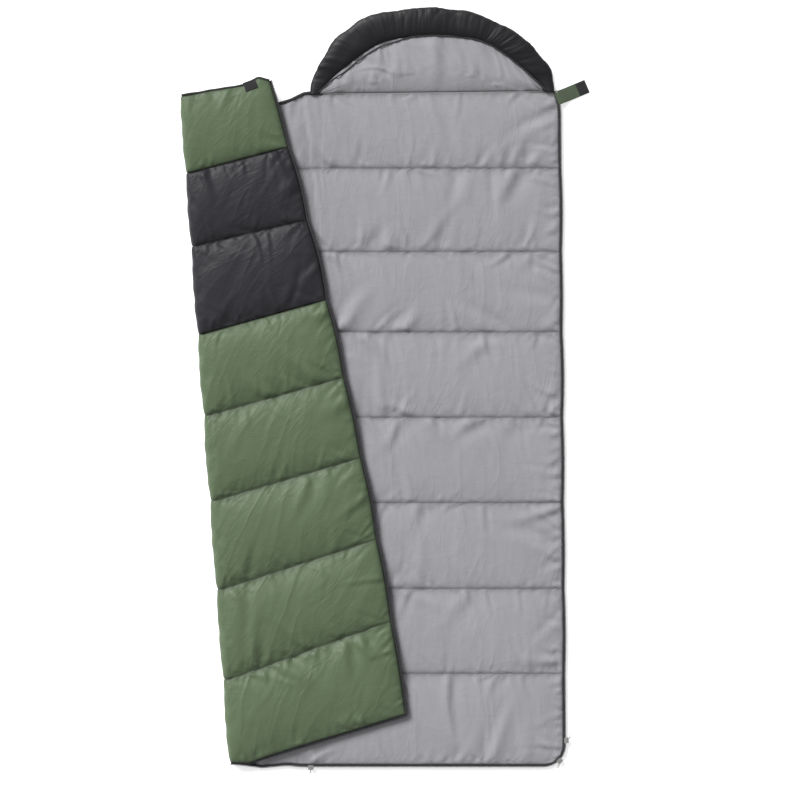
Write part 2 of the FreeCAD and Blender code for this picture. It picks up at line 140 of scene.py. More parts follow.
class BagColours(bpy.types.PropertyGroup):
    green: FloatVectorProperty(name="Green", description="Green outer fabric", subtype="COLOR",
                               size=3, min=0, max=1, default=(0.097, 0.137, 0.075))
    black: FloatVectorProperty(name="Black", description="Black outer fabric, hood rim and trims",
                               subtype="COLOR", size=3, min=0, max=1, default=(0.025, 0.024, 0.029))
    grey: FloatVectorProperty(name="Grey", description="Grey lining", subtype="COLOR",
                              size=3, min=0, max=1, default=(0.30, 0.296, 0.315))
    filling: FloatVectorProperty(name="Filling", description="Polyester padding", subtype="COLOR",
                                 size=3, min=0, max=1, default=(0.75, 0.75, 0.72))
    metal: FloatVectorProperty(name="Metal", description="Zip sliders and stops", subtype="COLOR",
                               size=3, min=0, max=1, default=(0.62, 0.62, 0.6))


class BagSewing(bpy.types.PropertyGroup):
    fullness: FloatProperty(name="Fullness", description="Extra cloth along a quilt seam, as a share",
                            default=0.03, min=0, max=0.1)
    pucker: FloatProperty(name="Pucker", description="Height of the folds in the quilted cloth",
                          default=2.7 * MM, min=0, max=0.01, subtype="DISTANCE", unit="LENGTH")
    stitch: FloatProperty(name="Stitch", description="Length of one stitch with its gap",
                          default=5.0 * MM, min=0.001, max=0.02, subtype="DISTANCE", unit="LENGTH")
    tooth: FloatProperty(name="Tooth pitch", description="Distance from one zip tooth to the next",
                         default=3.2 * MM, min=0.001, max=0.01, subtype="DISTANCE", unit="LENGTH")
    gathers: IntProperty(name="Rim gathers", description="Folds round the elastic rim of the hood",
                         default=34, min=5, max=200)
    frames: IntProperty(name="Settling time", description="Frames that the cloth is left to settle",
                        default=18, min=1, max=100)


class BagStage(bpy.types.PropertyGroup):
    distance: FloatProperty(name="Camera height", description="Height of the camera above the floor",
                            default=8.0, min=1, max=50, subtype="DISTANCE", unit="LENGTH")
    width: FloatProperty(name="View width", description="Width of floor that the camera sees",
                         default=2.316, min=0.5, max=10, subtype="DISTANCE", unit="LENGTH")
    key: FloatProperty(name="Key light", description="Strength of the wide soft light",
                       default=3.75, min=0, max=50)
    key_height: FloatProperty(name="Key height", description="Height of the soft light over the horizon",
                              default=math.radians(36), min=0, max=1.57, subtype="ANGLE", unit="ROTATION")
    key_spread: FloatProperty(name="Key spread", description="Width of the soft light as seen from the bag",
                              default=math.radians(30), min=0, max=3.14, subtype="ANGLE", unit="ROTATION")
    sky: FloatProperty(name="Sky", description="Brightness of the light from all round",
                       default=0.42, min=0, max=5)


# ---------------------------------------------------------------- reading the frame

class HingeLine:
    """Straight line that two parts of the bag turn about."""

    def __init__(self, joint):
        found = next(j for j in frame["joints"] if j["name"] == joint)
        self.point = np.array(found["pos_m"], float)
        self.axis = np.array(found["axis"], float) / np.linalg.norm(found["axis"])

    def at_y(self, y, shift=0.0):
        share = (y - self.point[1]) / self.axis[1]
        return np.array((self.point[0] + share * self.axis[0] + shift, y))

    def at_x(self, x, shift=0.0):
        share = (x - self.point[0]) / self.axis[0]
        return np.array((x, self.point[1] + share * self.axis[1] + shift))


SIDE_SEAM = HingeLine("cover_swing")
FOLD_LINE = HingeLine("cover_unfold")
NECK_LINE = HingeLine("hood_lift")
TAB_LINE = HingeLine("tab_flip")


class Outline:
    """Edge of the top or bottom face of a frame node, in plan."""

    def __init__(self, node, top=True):
        mesh = frame["nodes"][node].data
        points = np.array([v.co for v in mesh.vertices], float)
        level = points[:, 2].max() if top else points[:, 2].min()
        following = {}
        for face in mesh.polygons:
            corners = list(face.vertices)
            if max(abs(points[i, 2] - level) for i in corners) > FLAT:
                continue
            keys = [tuple(np.round(points[i, :2] / FLAT).astype(int)) for i in corners]
            for a, b in zip(keys, keys[1:] + keys[:1]):
                if a in following.get(b, ()):
                    following[b].remove(a)
                else:
                    following.setdefault(a, []).append(b)
        start = next(a for a in following if following[a])
        loop = [start]
        while following[loop[-1]]:
            loop.append(following[loop[-1]].pop())
        self.loop = np.array(loop, float) * FLAT
        steps = np.linalg.norm(np.diff(self.loop, axis=0), axis=1)
        self.travel = np.concatenate(([0.0], np.cumsum(steps)))

    def corner(self, right, up):
        """The point that lies furthest in a diagonal direction."""
        return self.loop[np.argmax(self.loop @ np.array((right, up)))]

    def place(self, point):
        """How far round the loop the nearest point to this one lies."""
        starts, ends = self.loop[:-1], self.loop[1:]
        runs = ends - starts
        share = ((np.array(point) - starts) * runs).sum(1) / (runs ** 2).sum(1)
        near = starts + np.clip(share, 0, 1)[:, None] * runs
        best = np.argmin(np.linalg.norm(near - point, axis=1))
        return self.travel[best] + np.linalg.norm(near[best] - starts[best])

    def nearest(self, point):
        place = self.place(point)
        return np.array([np.interp(place, self.travel, self.loop[:, i]) for i in (0, 1)])

    def path(self, start, end, shares, via=None):
        """Points along the edge from start to end, the shorter way or past via."""
        whole = self.travel[-1]
        a, b = self.place(start), self.place(end)
        forward = (b - a) % whole
        run = forward if forward < whole / 2 else forward - whole
        if via is not None:
            run = forward if (self.place(via) - a) % whole < forward else forward - whole
        places = (a + run * np.asarray(shares)) % whole
        return np.stack([np.interp(places, self.travel, self.loop[:, i]) for i in (0, 1)], axis=1)


def seam_ends(node):
    """Left and right end of each stitched seam in a frame node, neck end first."""
    mesh = frame["nodes"][node].data
    keys = [tuple(np.round(np.array(v.co) / FLAT).astype(int)) for v in mesh.vertices]
    leader = {key: key for key in keys}

    def lead(key):
        while leader[key] != key:
            leader[key] = leader[leader[key]]
            key = leader[key]
        return key

    for face in mesh.polygons:
        first = lead(keys[face.vertices[0]])
        for i in face.vertices:
            leader[lead(keys[i])] = first
    seams = {}
    for key in leader:
        seams.setdefault(lead(key), []).append(key[:2])
    ends = []
    for members in seams.values():
        points = np.array(members, float) * FLAT
        near = 3 * MM
        left = points[points[:, 0] < points[:, 0].min() + near].mean(0)
        right = points[points[:, 0] > points[:, 0].max() - near].mean(0)
        ends.append((left, right))
    return sorted(ends, key=lambda pair: -pair[0][1])


# ---------------------------------------------------------------- quilted panels in plan

# Folds in the cloth: number per metre of panel, length and width in mm, height share, spread of lean
CREASES = ((110, 50, 5, 0.8, 0.4), (32, 160, 7.5, 1.0, 0.42), (10, 250, 16, 1.8, 0.55))
FROM_UPPER = 0.42       # share of the folds that start at the upper seam of a channel
FROM_LOWER = 0.84       # up to this share they start at the lower seam, the others at the right edge
RAISED = 0.7            # share of the folds that stand up; the others are dents


def shares(count, gather=0.0):
    """Steps from 0 to 1, drawn together towards both ends by gather."""
    even = np.linspace(0, 1, count)
    return (1 - gather) * even + gather * (1 - np.cos(math.pi * even)) / 2


def smooth(x):
    """A soft step from 0 to 1 while x goes from 0 to 1."""
    x = np.clip(x, 0, 1)
    return x * x * (3 - 2 * x)


def bump(x, width):
    """1 at x = 0, fading to nothing a few widths away."""
    return np.exp(-(x / width) ** 2)


def sway(run, short, long, shift=0.0):
    """An uneven wave between -1 and 1 along a run; the two lengths are in mm."""
    return np.sin(run / (short * MM)) * np.sin(run / (long * MM) + shift)


def crown(down):
    """Height share of a padded channel, 0 at its two seams and 1 in its middle."""
    return (4 * down * (1 - down)) ** CROWN_POWER


def patch(top, foot, left, right, down, across):
    """Grid of points between four edge curves."""
    t, u = down[:, None, None], across[None, :, None]
    faces = (1 - t) * top[None] + t * foot[None] + (1 - u) * left[:, None] + u * right[:, None]
    corners = ((1 - t) * ((1 - u) * top[0] + u * top[-1]) + t * ((1 - u) * foot[0] + u * foot[-1]))
    return faces - corners


def reach_end(rail, across, start, end):
    """A rail bent near its ends so that it starts and ends at the given points."""
    near = 0.3
    to_end = smooth((across - 1 + near) / near)[:, None]
    to_start = smooth((near - across) / near)[:, None]
    return rail + (end - rail[-1]) * to_end + (start - rail[0]) * to_start


class Panel:
    """One quilted panel in plan: rows from the neck to the foot, columns from left to right."""

    def __init__(self, outline, seams, columns, step, left=None, right=None, ends=None, swell=None):
        across = shares(columns, 0.25)
        pairs = [(outline.corner(-1, 1), outline.corner(1, 1))]
        pairs += list(seams)
        pairs.append((outline.corner(-1, -1), outline.corner(1, -1)))
        pairs = [(left(a[1]) if left else a, right(b[1]) if right else b) for a, b in pairs]
        for row, side, point in ends or ():
            pair = list(pairs[row])
            pair[side] = np.array(point)
            pairs[row] = tuple(pair)
        rails = []
        for row, (a, b) in enumerate(pairs):
            if row in (0, len(pairs) - 1):
                up = 1 if row == 0 else -1
                edge = outline.path(outline.corner(-1, up), outline.corner(1, up), across)
                rails.append(reach_end(edge, across, a, b))
            else:
                rails.append(a + across[:, None] * (b - a))
        self.rails, self.down, grids = [0], [], []
        self.channel = []
        for row in range(len(rails) - 1):
            reach = np.linalg.norm(rails[row] - rails[row + 1], axis=1).max()
            down = shares(max(4, round(reach / step)) + 1, 0.45)
            sides = []
            for side, hinge in ((0, left), (-1, right)):
                a, b = rails[row][side], rails[row + 1][side]
                straight = a + down[:, None] * (b - a)
                if hinge is None:
                    edge = outline.path(a, b, down)
                    straight = edge + (a - edge[0]) * (1 - down[:, None]) + (b - edge[-1]) * down[:, None]
                    if swell:
                        out = np.array((a[1] - b[1], b[0] - a[0])) / np.linalg.norm(b - a)
                        straight += swell[row] * MM * np.sin(math.pi * down)[:, None] * out
                sides.append(straight)
            grid = patch(rails[row], rails[row + 1], sides[0], sides[1], down, across)
            keep = len(down) if row == len(rails) - 2 else len(down) - 1
            grids.append(grid[:keep])
            self.down.extend(down[:keep])
            self.channel.extend([row] * keep)
            self.rails.append(self.rails[-1] + len(down) - 1)
        self.plan = np.concatenate(grids)
        self.down = np.array(self.down)
        self.channel = np.array(self.channel)
        self.measure()

    def measure(self):
        """Works out how far each point lies from the edges and from the nearest seam."""
        gaps = np.linalg.norm(np.diff(self.plan, axis=1), axis=2)
        self.from_left = np.concatenate((np.zeros((len(gaps), 1)), np.cumsum(gaps, axis=1)), axis=1)
        self.from_right = self.from_left[:, -1:] - self.from_left
        drops = np.linalg.norm(np.diff(self.plan, axis=0), axis=2)
        first = np.zeros((1, drops.shape[1]))
        self.from_neck = np.concatenate((first, np.cumsum(drops, axis=0)), axis=0)
        rows = np.array(self.rails)
        above = self.from_neck[rows[self.channel]]
        below = self.from_neck[rows[self.channel + 1]]
        self.from_rail = np.minimum(self.from_neck - above, below - self.from_neck)

    @classmethod
    def laid_out(cls, plan, rails, down, channel):
        """A panel made from a finished grid of points."""
        panel = cls.__new__(cls)
        panel.plan, panel.rails, panel.down, panel.channel = plan, rails, down, channel
        panel.measure()
        return panel

    def joined(self, other):
        """This panel with another one sewn on at its right."""
        plan = np.concatenate((self.plan, other.plan[:, 1:]), axis=1)
        return Panel.laid_out(plan, self.rails, self.down, self.channel)

    def band(self, first, last):
        """Row numbers from one rail to another, both included."""
        return slice(self.rails[first], self.rails[last] + 1)

    def loft(self, rail_heights, crest, left=None, right=None, reach=55 * MM):
        """Heights of a padded surface sewn down along the rails and at its sides."""
        rail = np.array(rail_heights)
        held = rail[self.channel] * (1 - self.down) + rail[self.channel + 1] * self.down
        height = np.repeat((held + (crest - held) * crown(self.down))[:, None], self.plan.shape[1], axis=1)
        for edge, distance in ((left, self.from_left), (right, self.from_right)):
            if edge is not None:
                share = np.clip(distance / reach, 0, 1)
                height = edge + (height - edge) * np.sqrt(1 - (1 - share) ** 2)
        return height

    def creases(self, scale, seed, lean=0.0, amount=1.0, lively=()):
        """Uneven folds that start at the seams and at the right edge and fade into the channels.

        Lively holds a factor for each channel, where the channels differ.
        """
        draw = np.random.default_rng(seed)
        total = np.zeros(self.plan.shape[:2])
        wide = self.from_left[:, -1].mean()
        for row in range(len(self.rails) - 1):
            rows = self.channel == row
            below = self.from_neck[rows] - self.from_neck[self.rails[row]]
            tall = (self.from_neck[self.rails[row + 1]] - self.from_neck[self.rails[row]]).mean()
            life = lively[row] if lively else 1.0
            for count, longest, width, size, spread in CREASES:
                for _ in range(round(count * amount * life * wide)):
                    start, angle = draw.random(), draw.normal(lean, spread)
                    length = longest * draw.uniform(0.3, 1) * MM
                    broad = width * draw.uniform(0.7, 1.3) * MM
                    bend = draw.normal(0, 0.25) / length
                    strength = life ** 0.5 * size * draw.uniform(0.3, 1)
                    strength *= 1 if draw.random() < RAISED else -0.8
                    x, y = self.from_left[rows] - wide * draw.random(), below
                    if start < FROM_UPPER:
                        ahead = (math.sin(angle), math.cos(angle))
                    elif start < FROM_LOWER:
                        y = below - tall
                        ahead = (-math.sin(angle), -math.cos(angle))
                    else:
                        x, y = -self.from_right[rows], below - tall * draw.random()
                        ahead = (-math.cos(angle - lean), math.sin(angle))
                    along = x * ahead[0] + y * ahead[1]
                    across = x * ahead[1] - y * ahead[0] + bend * along ** 2
                    fade = smooth(along / (0.25 * length) + 0.35) * (1 - smooth(along / length))
                    beside = bump(across - 1.7 * broad, 1.3 * broad)
                    total[rows] += strength * fade * (bump(across, broad) - 0.6 * beside)
        edge = np.minimum(self.from_left, self.from_right)
        sewn = (1 - np.exp(-self.from_rail / (4 * MM))) * (1 - np.exp(-edge / (6 * MM)))
        return scale * total * sewn

    def away_from_seams(self):
        """0 at a stitched seam, rising to 1 inside a channel."""
        return 1 - np.exp(-self.from_rail / (8 * MM))

    def nearness(self, left=True):
        """1 at a seam or an edge, fading to 0 in the middle of a channel."""
        away = np.minimum(self.from_rail, self.from_right)
        if left:
            away = np.minimum(away, self.from_left)
        return np.exp(-away / (6 * MM))

    def flat_size(self, rows=slice(None)):
        """Width, length and area of the cloth before it was quilted, for some rows or for all."""
        plan, from_neck = self.plan[rows], self.from_neck[rows]
        rising = plan[1:, 1:] - plan[:-1, :-1]
        falling = plan[:-1, 1:] - plan[1:, :-1]
        area = np.abs(rising[..., 0] * falling[..., 1] - rising[..., 1] * falling[..., 0]).sum() / 2
        return self.from_left[rows][:, -1].max(), (from_neck[-1] - from_neck[0]).max(), area


# ---------------------------------------------------------------- meshes

def grid_faces(rows, columns, closed=False):
    """Quads of a grid, facing up when rows run towards -Y and columns towards +X."""
    index = np.arange(rows * columns).reshape(rows, columns)
    if closed:
        index = np.concatenate((index, index[:, :1]), axis=1)
    a, b, c, d = index[:-1, :-1], index[1:, :-1], index[1:, 1:], index[:-1, 1:]
    return np.stack((a, b, c, d), axis=-1).reshape(-1, 4)


def new_piece(name, points, faces, finish, cloth=None, seam=None):
    """A smooth mesh piece, with its cloth directions as a UV map and seam nearness."""
    mesh = bpy.data.meshes.new(name)
    points = np.asarray(points, float).reshape(-1, 3)
    mesh.from_pydata(points.tolist(), [], [list(map(int, face)) for face in faces])
    corner = np.zeros(len(mesh.loops), np.int32)
    mesh.loops.foreach_get("vertex_index", corner)
    if cloth is not None:
        flat = np.asarray(cloth, float).reshape(-1, 2)[corner]
        mesh.uv_layers.new(name="cloth").data.foreach_set("uv", flat.ravel())
    # The seam attribute masks the painted shade along seams, edges and folds.
    near = np.zeros(len(points)) if seam is None else np.asarray(seam, float).ravel()
    mesh.attributes.new("seam", "FLOAT", "POINT").data.foreach_set("value", near)
    mesh.polygons.foreach_set("use_smooth", [True] * len(mesh.polygons))
    mesh.update()
    piece = bpy.data.objects.new(name, mesh)
    bpy.context.scene.collection.objects.link(piece)
    mesh.materials.append(finish)
    return piece


def deselect():
    for other in bpy.context.view_layer.objects:
        other.select_set(False)


def only(piece):
    """Selects one piece and nothing else."""
    deselect()
    piece.select_set(True)
    bpy.context.view_layer.objects.active = piece


def thicken(piece, thickness):
    """Gives a sheet of cloth its thickness, on the side away from its face."""
    only(piece)
    wall = piece.modifiers.new("Thickness", "SOLIDIFY")
    wall.thickness = thickness
    wall.offset = -1.0
    wall.use_even_offset = False
    bpy.ops.object.modifier_apply(modifier=wall.name)
    return piece


def tidy_normals(piece):
    """Merges doubled points and turns every face outwards."""
    only(piece)
    bpy.ops.object.mode_set(mode="EDIT")
    bpy.ops.mesh.select_all(action="SELECT")
    bpy.ops.mesh.remove_doubles(threshold=0.02 * MM)
    bpy.ops.mesh.normals_make_consistent(inside=False)
    bpy.ops.object.mode_set(mode="OBJECT")
    return piece


def cloth_map(points):
    """Distances along and across a grid of cloth, in metres."""
    across = np.linalg.norm(np.diff(points, axis=1), axis=2)
    down = np.linalg.norm(np.diff(points, axis=0), axis=2)
    u = np.concatenate((np.zeros((len(points), 1)), np.cumsum(across, axis=1)), axis=1)
    v = np.concatenate((np.zeros((1, points.shape[1])), np.cumsum(down, axis=0)), axis=0)
    return np.stack((u, -v), axis=-1)


def sheet_piece(name, points, finish, seam, thickness=0.6 * MM, flip=False):
    """A sheet of cloth through a grid of points, facing up, or down when flipped."""
    faces = grid_faces(*points.shape[:2])
    piece = new_piece(name, points, faces[:, ::-1] if flip else faces, finish, cloth_map(points), seam)
    return thicken(piece, thickness)


def surface(plan, height):
    """Grid of points in space from a grid in plan and its heights."""
    return np.concatenate((plan, height[..., None]), axis=-1)


def eased(offsets, held, rounds):
    """Offsets evened out between neighbours; the held points stay."""
    for _ in range(rounds):
        around = np.pad(offsets, ((1, 1), (1, 1), (0, 0)), mode="edge")
        near = around[:-2, 1:-1] + around[2:, 1:-1] + around[1:-1, :-2] + around[1:-1, 2:]
        offsets = 0.5 * offsets + 0.125 * near
        offsets[held] = 0
    return offsets


def settle(points, held, fullness, pressure, frames, most):
    """Lets a sheet that is cut fuller than its seams find its folds, and returns its points.

    The held points don't move, and no other one moves further than most.
    """
    rows, columns = points.shape[:2]
    cloth = new_piece("settling_cloth", points, grid_faces(rows, columns), None)
    cloth.shape_key_add(name="sewn")
    cut = cloth.shape_key_add(name="cut")
    fuller = points * np.array((1 + fullness, 1 + fullness / 6, 1.0))
    cut.data.foreach_set("co", fuller.ravel())
    group = cloth.vertex_groups.new(name="held")
    group.add(np.flatnonzero(held.ravel()).tolist(), 1.0, "REPLACE")
    modifier = cloth.modifiers.new("Cloth", "CLOTH")
    setting = modifier.settings
    setting.quality = 4
    setting.mass = 0.05
    setting.tension_stiffness = 12
    setting.compression_stiffness = 12
    setting.shear_stiffness = 3
    setting.bending_stiffness = 0.08
    setting.air_damping = 3
    setting.vertex_group_mass = group.name
    setting.rest_shape_key = cut
    setting.use_pressure = True
    setting.uniform_pressure_force = pressure
    setting.effector_weights.gravity = 0
    modifier.collision_settings.use_collision = False
    modifier.point_cache.frame_end = frames + 1
    scene = bpy.context.scene
    for number in range(1, frames + 1):
        scene.frame_set(number)
    settled = cloth.evaluated_get(bpy.context.evaluated_depsgraph_get()).data
    found = np.zeros(rows * columns * 3)
    settled.vertices.foreach_get("co", found)
    scene.frame_set(1)
    bpy.data.objects.remove(cloth)
    offsets = found.reshape(rows, columns, 3) - points
    far = np.linalg.norm(offsets, axis=2, keepdims=True)
    offsets *= most * np.tanh(far / most) / np.maximum(far, 1e-9)
    return points + eased(offsets, held, 2)


def swept(name, centre, outward, section, finish):
    """A closed section carried along a line; section holds (outward, up) points per station."""
    centre = np.asarray(centre, float)
    outward = np.asarray(outward, float)
    section = np.asarray(section, float)
    if section.ndim == 2:
        section = np.repeat(section[None], len(centre), axis=0)
    points = centre[:, None] + section[..., :1] * outward[:, None] + section[..., 1:] * UP
    stations, around = points.shape[:2]
    faces = [list(face) for face in grid_faces(stations, around, closed=True)]
    faces.append(list(range(around)))
    faces.append([(stations - 1) * around + i for i in range(around)][::-1])
    run = np.concatenate(([0], np.cumsum(np.linalg.norm(np.diff(centre, axis=0), axis=1))))
    girth = np.linspace(0, 1, around) * 2 * np.linalg.norm(section[0].max(0) - section[0].min(0))
    cloth = np.stack(np.meshgrid(run, girth, indexing="ij"), axis=-1)
    piece = new_piece(name, points, faces, finish, cloth)
    return tidy_normals(piece)


def oval(width, height, count=10, power=2.6):
    """Rounded closed section, width along the outward direction; a higher power is squarer."""
    turn = np.linspace(0, 2 * math.pi, count, endpoint=False)
    c, s = np.cos(turn), np.sin(turn)
    x = np.sign(c) * np.abs(c) ** (2 / power) * width / 2
    z = np.sign(s) * np.abs(s) ** (2 / power) * height / 2
    return np.stack((x, z), axis=-1)


def outward_of(path, inside):
    """Unit vectors in plan, square to a path and away from a point inside."""
    ahead = np.gradient(path[:, :2], axis=0)
    side = np.stack((ahead[:, 1], -ahead[:, 0]), axis=1)
    side /= np.linalg.norm(side, axis=1, keepdims=True)
    if ((path[:, :2] - np.array(inside)) * side).sum() < 0:
        side = -side
    return np.concatenate((side, np.zeros((len(side), 1))), axis=1)


def resampled(path, step):
    """The same line with points step apart."""
    run = np.concatenate(([0], np.cumsum(np.linalg.norm(np.diff(path, axis=0), axis=1))))
    places = np.linspace(0, run[-1], max(2, round(run[-1] / step) + 1))
    return np.stack([np.interp(places, run, path[:, i]) for i in range(path.shape[1])], axis=1)


def repeated(name, unit, places, finish):
    """One piece made of many copies of a small mesh, one at each 4x4 placing."""
    count = len(unit.data.vertices)
    points = np.array([v.co for v in unit.data.vertices], float)
    faces = [list(face.vertices) for face in unit.data.polygons]
    bpy.data.objects.remove(unit)
    around = np.concatenate((points, np.ones((count, 1))), axis=1)
    all_points = np.einsum("nij,kj->nki", np.array(places), around)[..., :3]
    all_faces = [[i + n * count for i in face] for n in range(len(places)) for face in faces]
    run = np.repeat(np.arange(len(places))[:, None], count, axis=1)
    cloth = np.stack((run * 0.37, np.broadcast_to(points[:, 0], run.shape)), axis=-1)
    return new_piece(name, all_points, all_faces, finish, cloth)


def placings(path, side):
    """A 4x4 placing at each point of a path: x along it, y to its side, z up."""
    ahead = np.gradient(path, axis=0)
    ahead /= np.linalg.norm(ahead, axis=1, keepdims=True)
    over = np.cross(ahead, side)
    over /= np.linalg.norm(over, axis=1, keepdims=True)
    across = np.cross(over, ahead)
    placed = np.zeros((len(path), 4, 4))
    placed[:, :3, 0], placed[:, :3, 1], placed[:, :3, 2] = ahead, across, over
    placed[:, :3, 3], placed[:, 3, 3] = path, 1
    return placed


def dress(piece, nodes, body=None):
    """Hides the frame nodes a piece stands for and hangs the piece on the body it rides on, if one is given.
    """
    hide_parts(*nodes)
    if body:
        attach(piece, body)


def declare_sheet(piece, cut, held, rests_on=(), rows=slice(None)):
    """Works out the flat size of a sheet from the panel it is cut as and keeps none of it; piece, held and
    rests_on are not used.
    """
    width, length, area = cut.flat_size(rows)
    min(area, width * length)


# ---------------------------------------------------------------- finishes

class Socket:
    """One output of a shader node, usable in sums and products."""

    def __init__(self, finish, socket):
        self.finish = finish
        self.socket = socket

    def _with(self, operation, other, swapped=False):
        first, second = (other, self) if swapped else (self, other)
        return self.finish.node("ShaderNodeMath", {"operation": operation}, {0: first, 1: second})

    def __add__(self, other):
        return self._with("ADD", other)

    __radd__ = __add__

    def __sub__(self, other):
        return self._with("SUBTRACT", other)

    def __rsub__(self, other):
        return self._with("SUBTRACT", other, True)

    def __mul__(self, other):
        return self._with("MULTIPLY", other)

    __rmul__ = __mul__

    def sine(self):
        return self.finish.node("ShaderNodeMath", {"operation": "SINE"}, {0: self})

    def size(self):
        return self.finish.node("ShaderNodeMath", {"operation": "ABSOLUTE"}, {0: self})

    def clamped(self):
        return self.finish.node("ShaderNodeClamp", {}, {0: self})


class Finish:
    """A procedural material under construction."""

    def __init__(self, name, roughness=0.6, **constants):
        self.material = bpy.data.materials.new(name)
        self.material.use_nodes = True
        self.tree = self.material.node_tree
        self.shader = self.tree.nodes["Principled BSDF"]
        self.shader.inputs["Roughness"].default_value = roughness
        for socket, value in constants.items():
            self.shader.inputs[socket.replace("_", " ")].default_value = value

    def node(self, kind, settings, sockets, output=0):
        """Adds a node, makes its settings, feeds its sockets and returns one output."""
        made = self.tree.nodes.new(kind)
        for key, value in settings.items():
            setattr(made, key, value)
        for key, value in sockets.items():
            if isinstance(value, Socket):
                self.tree.links.new(value.socket, made.inputs[key])
            else:
                made.inputs[key].default_value = value
        return Socket(self, made.outputs[output])

    def cloth_way(self, u_scale=1.0, v_scale=1.0, turn=0.0):
        """The piece's cloth directions in metres, turned and stretched for a pattern."""
        uv = self.node("ShaderNodeUVMap", {"uv_map": "cloth"}, {})
        if turn:
            uv = self.node("ShaderNodeMapping", {}, {"Vector": uv, "Rotation": (0, 0, turn)})
        return self.node("ShaderNodeMapping", {}, {"Vector": uv, "Scale": (u_scale, v_scale, 1)})

    def folds(self, where, sharpness, distortion):
        """Thin rounded ridges along the level lines of a noise, 0 to 1."""
        level = self.noise(where, 1.0, 2, 0.45, distortion)
        ridge = (1 - (level - 0.5).size() * sharpness).clamped()
        return ridge * ridge

    def noise(self, where, scale, detail=2.0, roughness=0.5, distortion=0.0):
        """A soft random pattern, about 0 to 1."""
        sockets = {"Vector": where, "Scale": scale, "Detail": detail,
                   "Roughness": roughness, "Distortion": distortion}
        return self.node("ShaderNodeTexNoise", {}, sockets)

    def threads(self, pitch):
        """Crossing threads as rounded humps, 0 to 1."""
        uv = self.node("ShaderNodeUVMap", {"uv_map": "cloth"}, {})
        u = self.node("ShaderNodeSeparateXYZ", {}, {0: uv}, 0)
        v = self.node("ShaderNodeSeparateXYZ", {}, {0: uv}, 1)
        turn = math.pi / pitch
        return (u * turn).sine() * (v * turn).sine() * 0.5 + 0.5

    def seam(self):
        """1 at a stitched seam, an edge or a fold, 0 away from it; it masks the painted shade of the cloth.
        """
        return self.node("ShaderNodeAttribute", {"attribute_name": "seam"}, {}, "Fac")

    def between(self, share, low, high):
        """A colour part of the way from low to high."""
        low, high = ((*c, 1) if isinstance(c, tuple) else c for c in (low, high))
        return self.node("ShaderNodeMix", {"data_type": "RGBA"}, {0: share, 6: low, 7: high}, 2)

    def raised(self, height, distance, strength=1.0, over=None):
        """The surface direction over a relief, laid over another relief if there is one."""
        sockets = {"Height": height, "Distance": distance, "Strength": strength}
        if over is not None:
            sockets["Normal"] = over
        return self.node("ShaderNodeBump", {}, sockets)

    def feed(self, **links):
        """Connects varying values to the shader and returns the finished material."""
        for socket, value in links.items():
            self.tree.links.new(value.socket, self.shader.inputs[socket.replace("_", " ")])
        return self.material


def tinted(colour, amount):
    """The colour made lighter or darker."""
    return tuple(min(1.0, c * amount) for c in colour)


def shell_finish(name, colour, roughness, crease, glint, lean=0.0):
    """Woven polyester: fine weave, slanting creases of a given depth, and painted shade along the seams,
    edges and folds.
    """
    made = Finish(name, roughness, Specular_IOR_Level=glint)
    broad = made.noise(made.cloth_way(5, 2.2, lean), 1.0, 3, 0.55)
    streak = made.noise(made.cloth_way(42, 9, lean), 1.0, 4, 0.6, 0.7)
    slant = made.noise(made.cloth_way(14, 26, lean), 1.0, 3, 0.55, 1.4)
    long_folds = made.folds(made.cloth_way(11, 2.4, lean), 3.2, 0.5)
    short_folds = made.folds(made.cloth_way(30, 8, lean * 1.5 + 0.2), 3.5, 0.7)
    here = made.noise(made.cloth_way(6, 7, 0.4), 1.0, 2, 0.5)
    patches = ((here - 0.42) * 6).clamped()
    folds = long_folds * 0.8 + short_folds * patches * 0.3
    weave = made.threads(1.1 * MM)
    seam = made.seam()
    shade = made.between(broad, tinted(colour, 0.88), tinted(colour, 1.12))
    fine = made.between(streak, tinted(colour, 0.8), tinted(colour, 1.2))
    mixed = made.between(0.4, shade, fine)
    # Painted shade: the colour darkens towards 0.3 of itself where the seam attribute is high, along seams,
    # edges and folds.
    painted_seam_shade = made.between((seam * 0.85).clamped(), mixed, tinted(colour, 0.3))
    coloured = made.between(weave * 0.12, painted_seam_shade, tinted(colour, 1.5))
    relief = made.raised(folds + streak * 0.35 + slant * 0.5 + broad, crease, 0.7)
    woven = made.raised(weave, 0.12 * MM, 0.35, relief)
    return made.feed(Base_Color=coloured, Roughness=(streak - 0.5) * 0.25 + roughness, Normal=woven)


def filling_finish(name, colour):
    """Bonded polyester wadding: tangled fibres over soft lumps."""
    made = Finish(name, 0.95, Sheen_Weight=0.4, Subsurface_Weight=0.15)
    lumps = made.noise(made.cloth_way(30, 30), 1.0, 3, 0.6)
    fibres = made.noise(made.cloth_way(600, 90), 1.0, 4, 0.75, 2.0)
    shade = made.between(fibres, tinted(colour, 0.8), tinted(colour, 1.2))
    return made.feed(Base_Color=shade, Roughness=lumps * 0.1 + 0.88,
                     Normal=made.raised(lumps + fibres * 0.5, 2 * MM, 0.6))


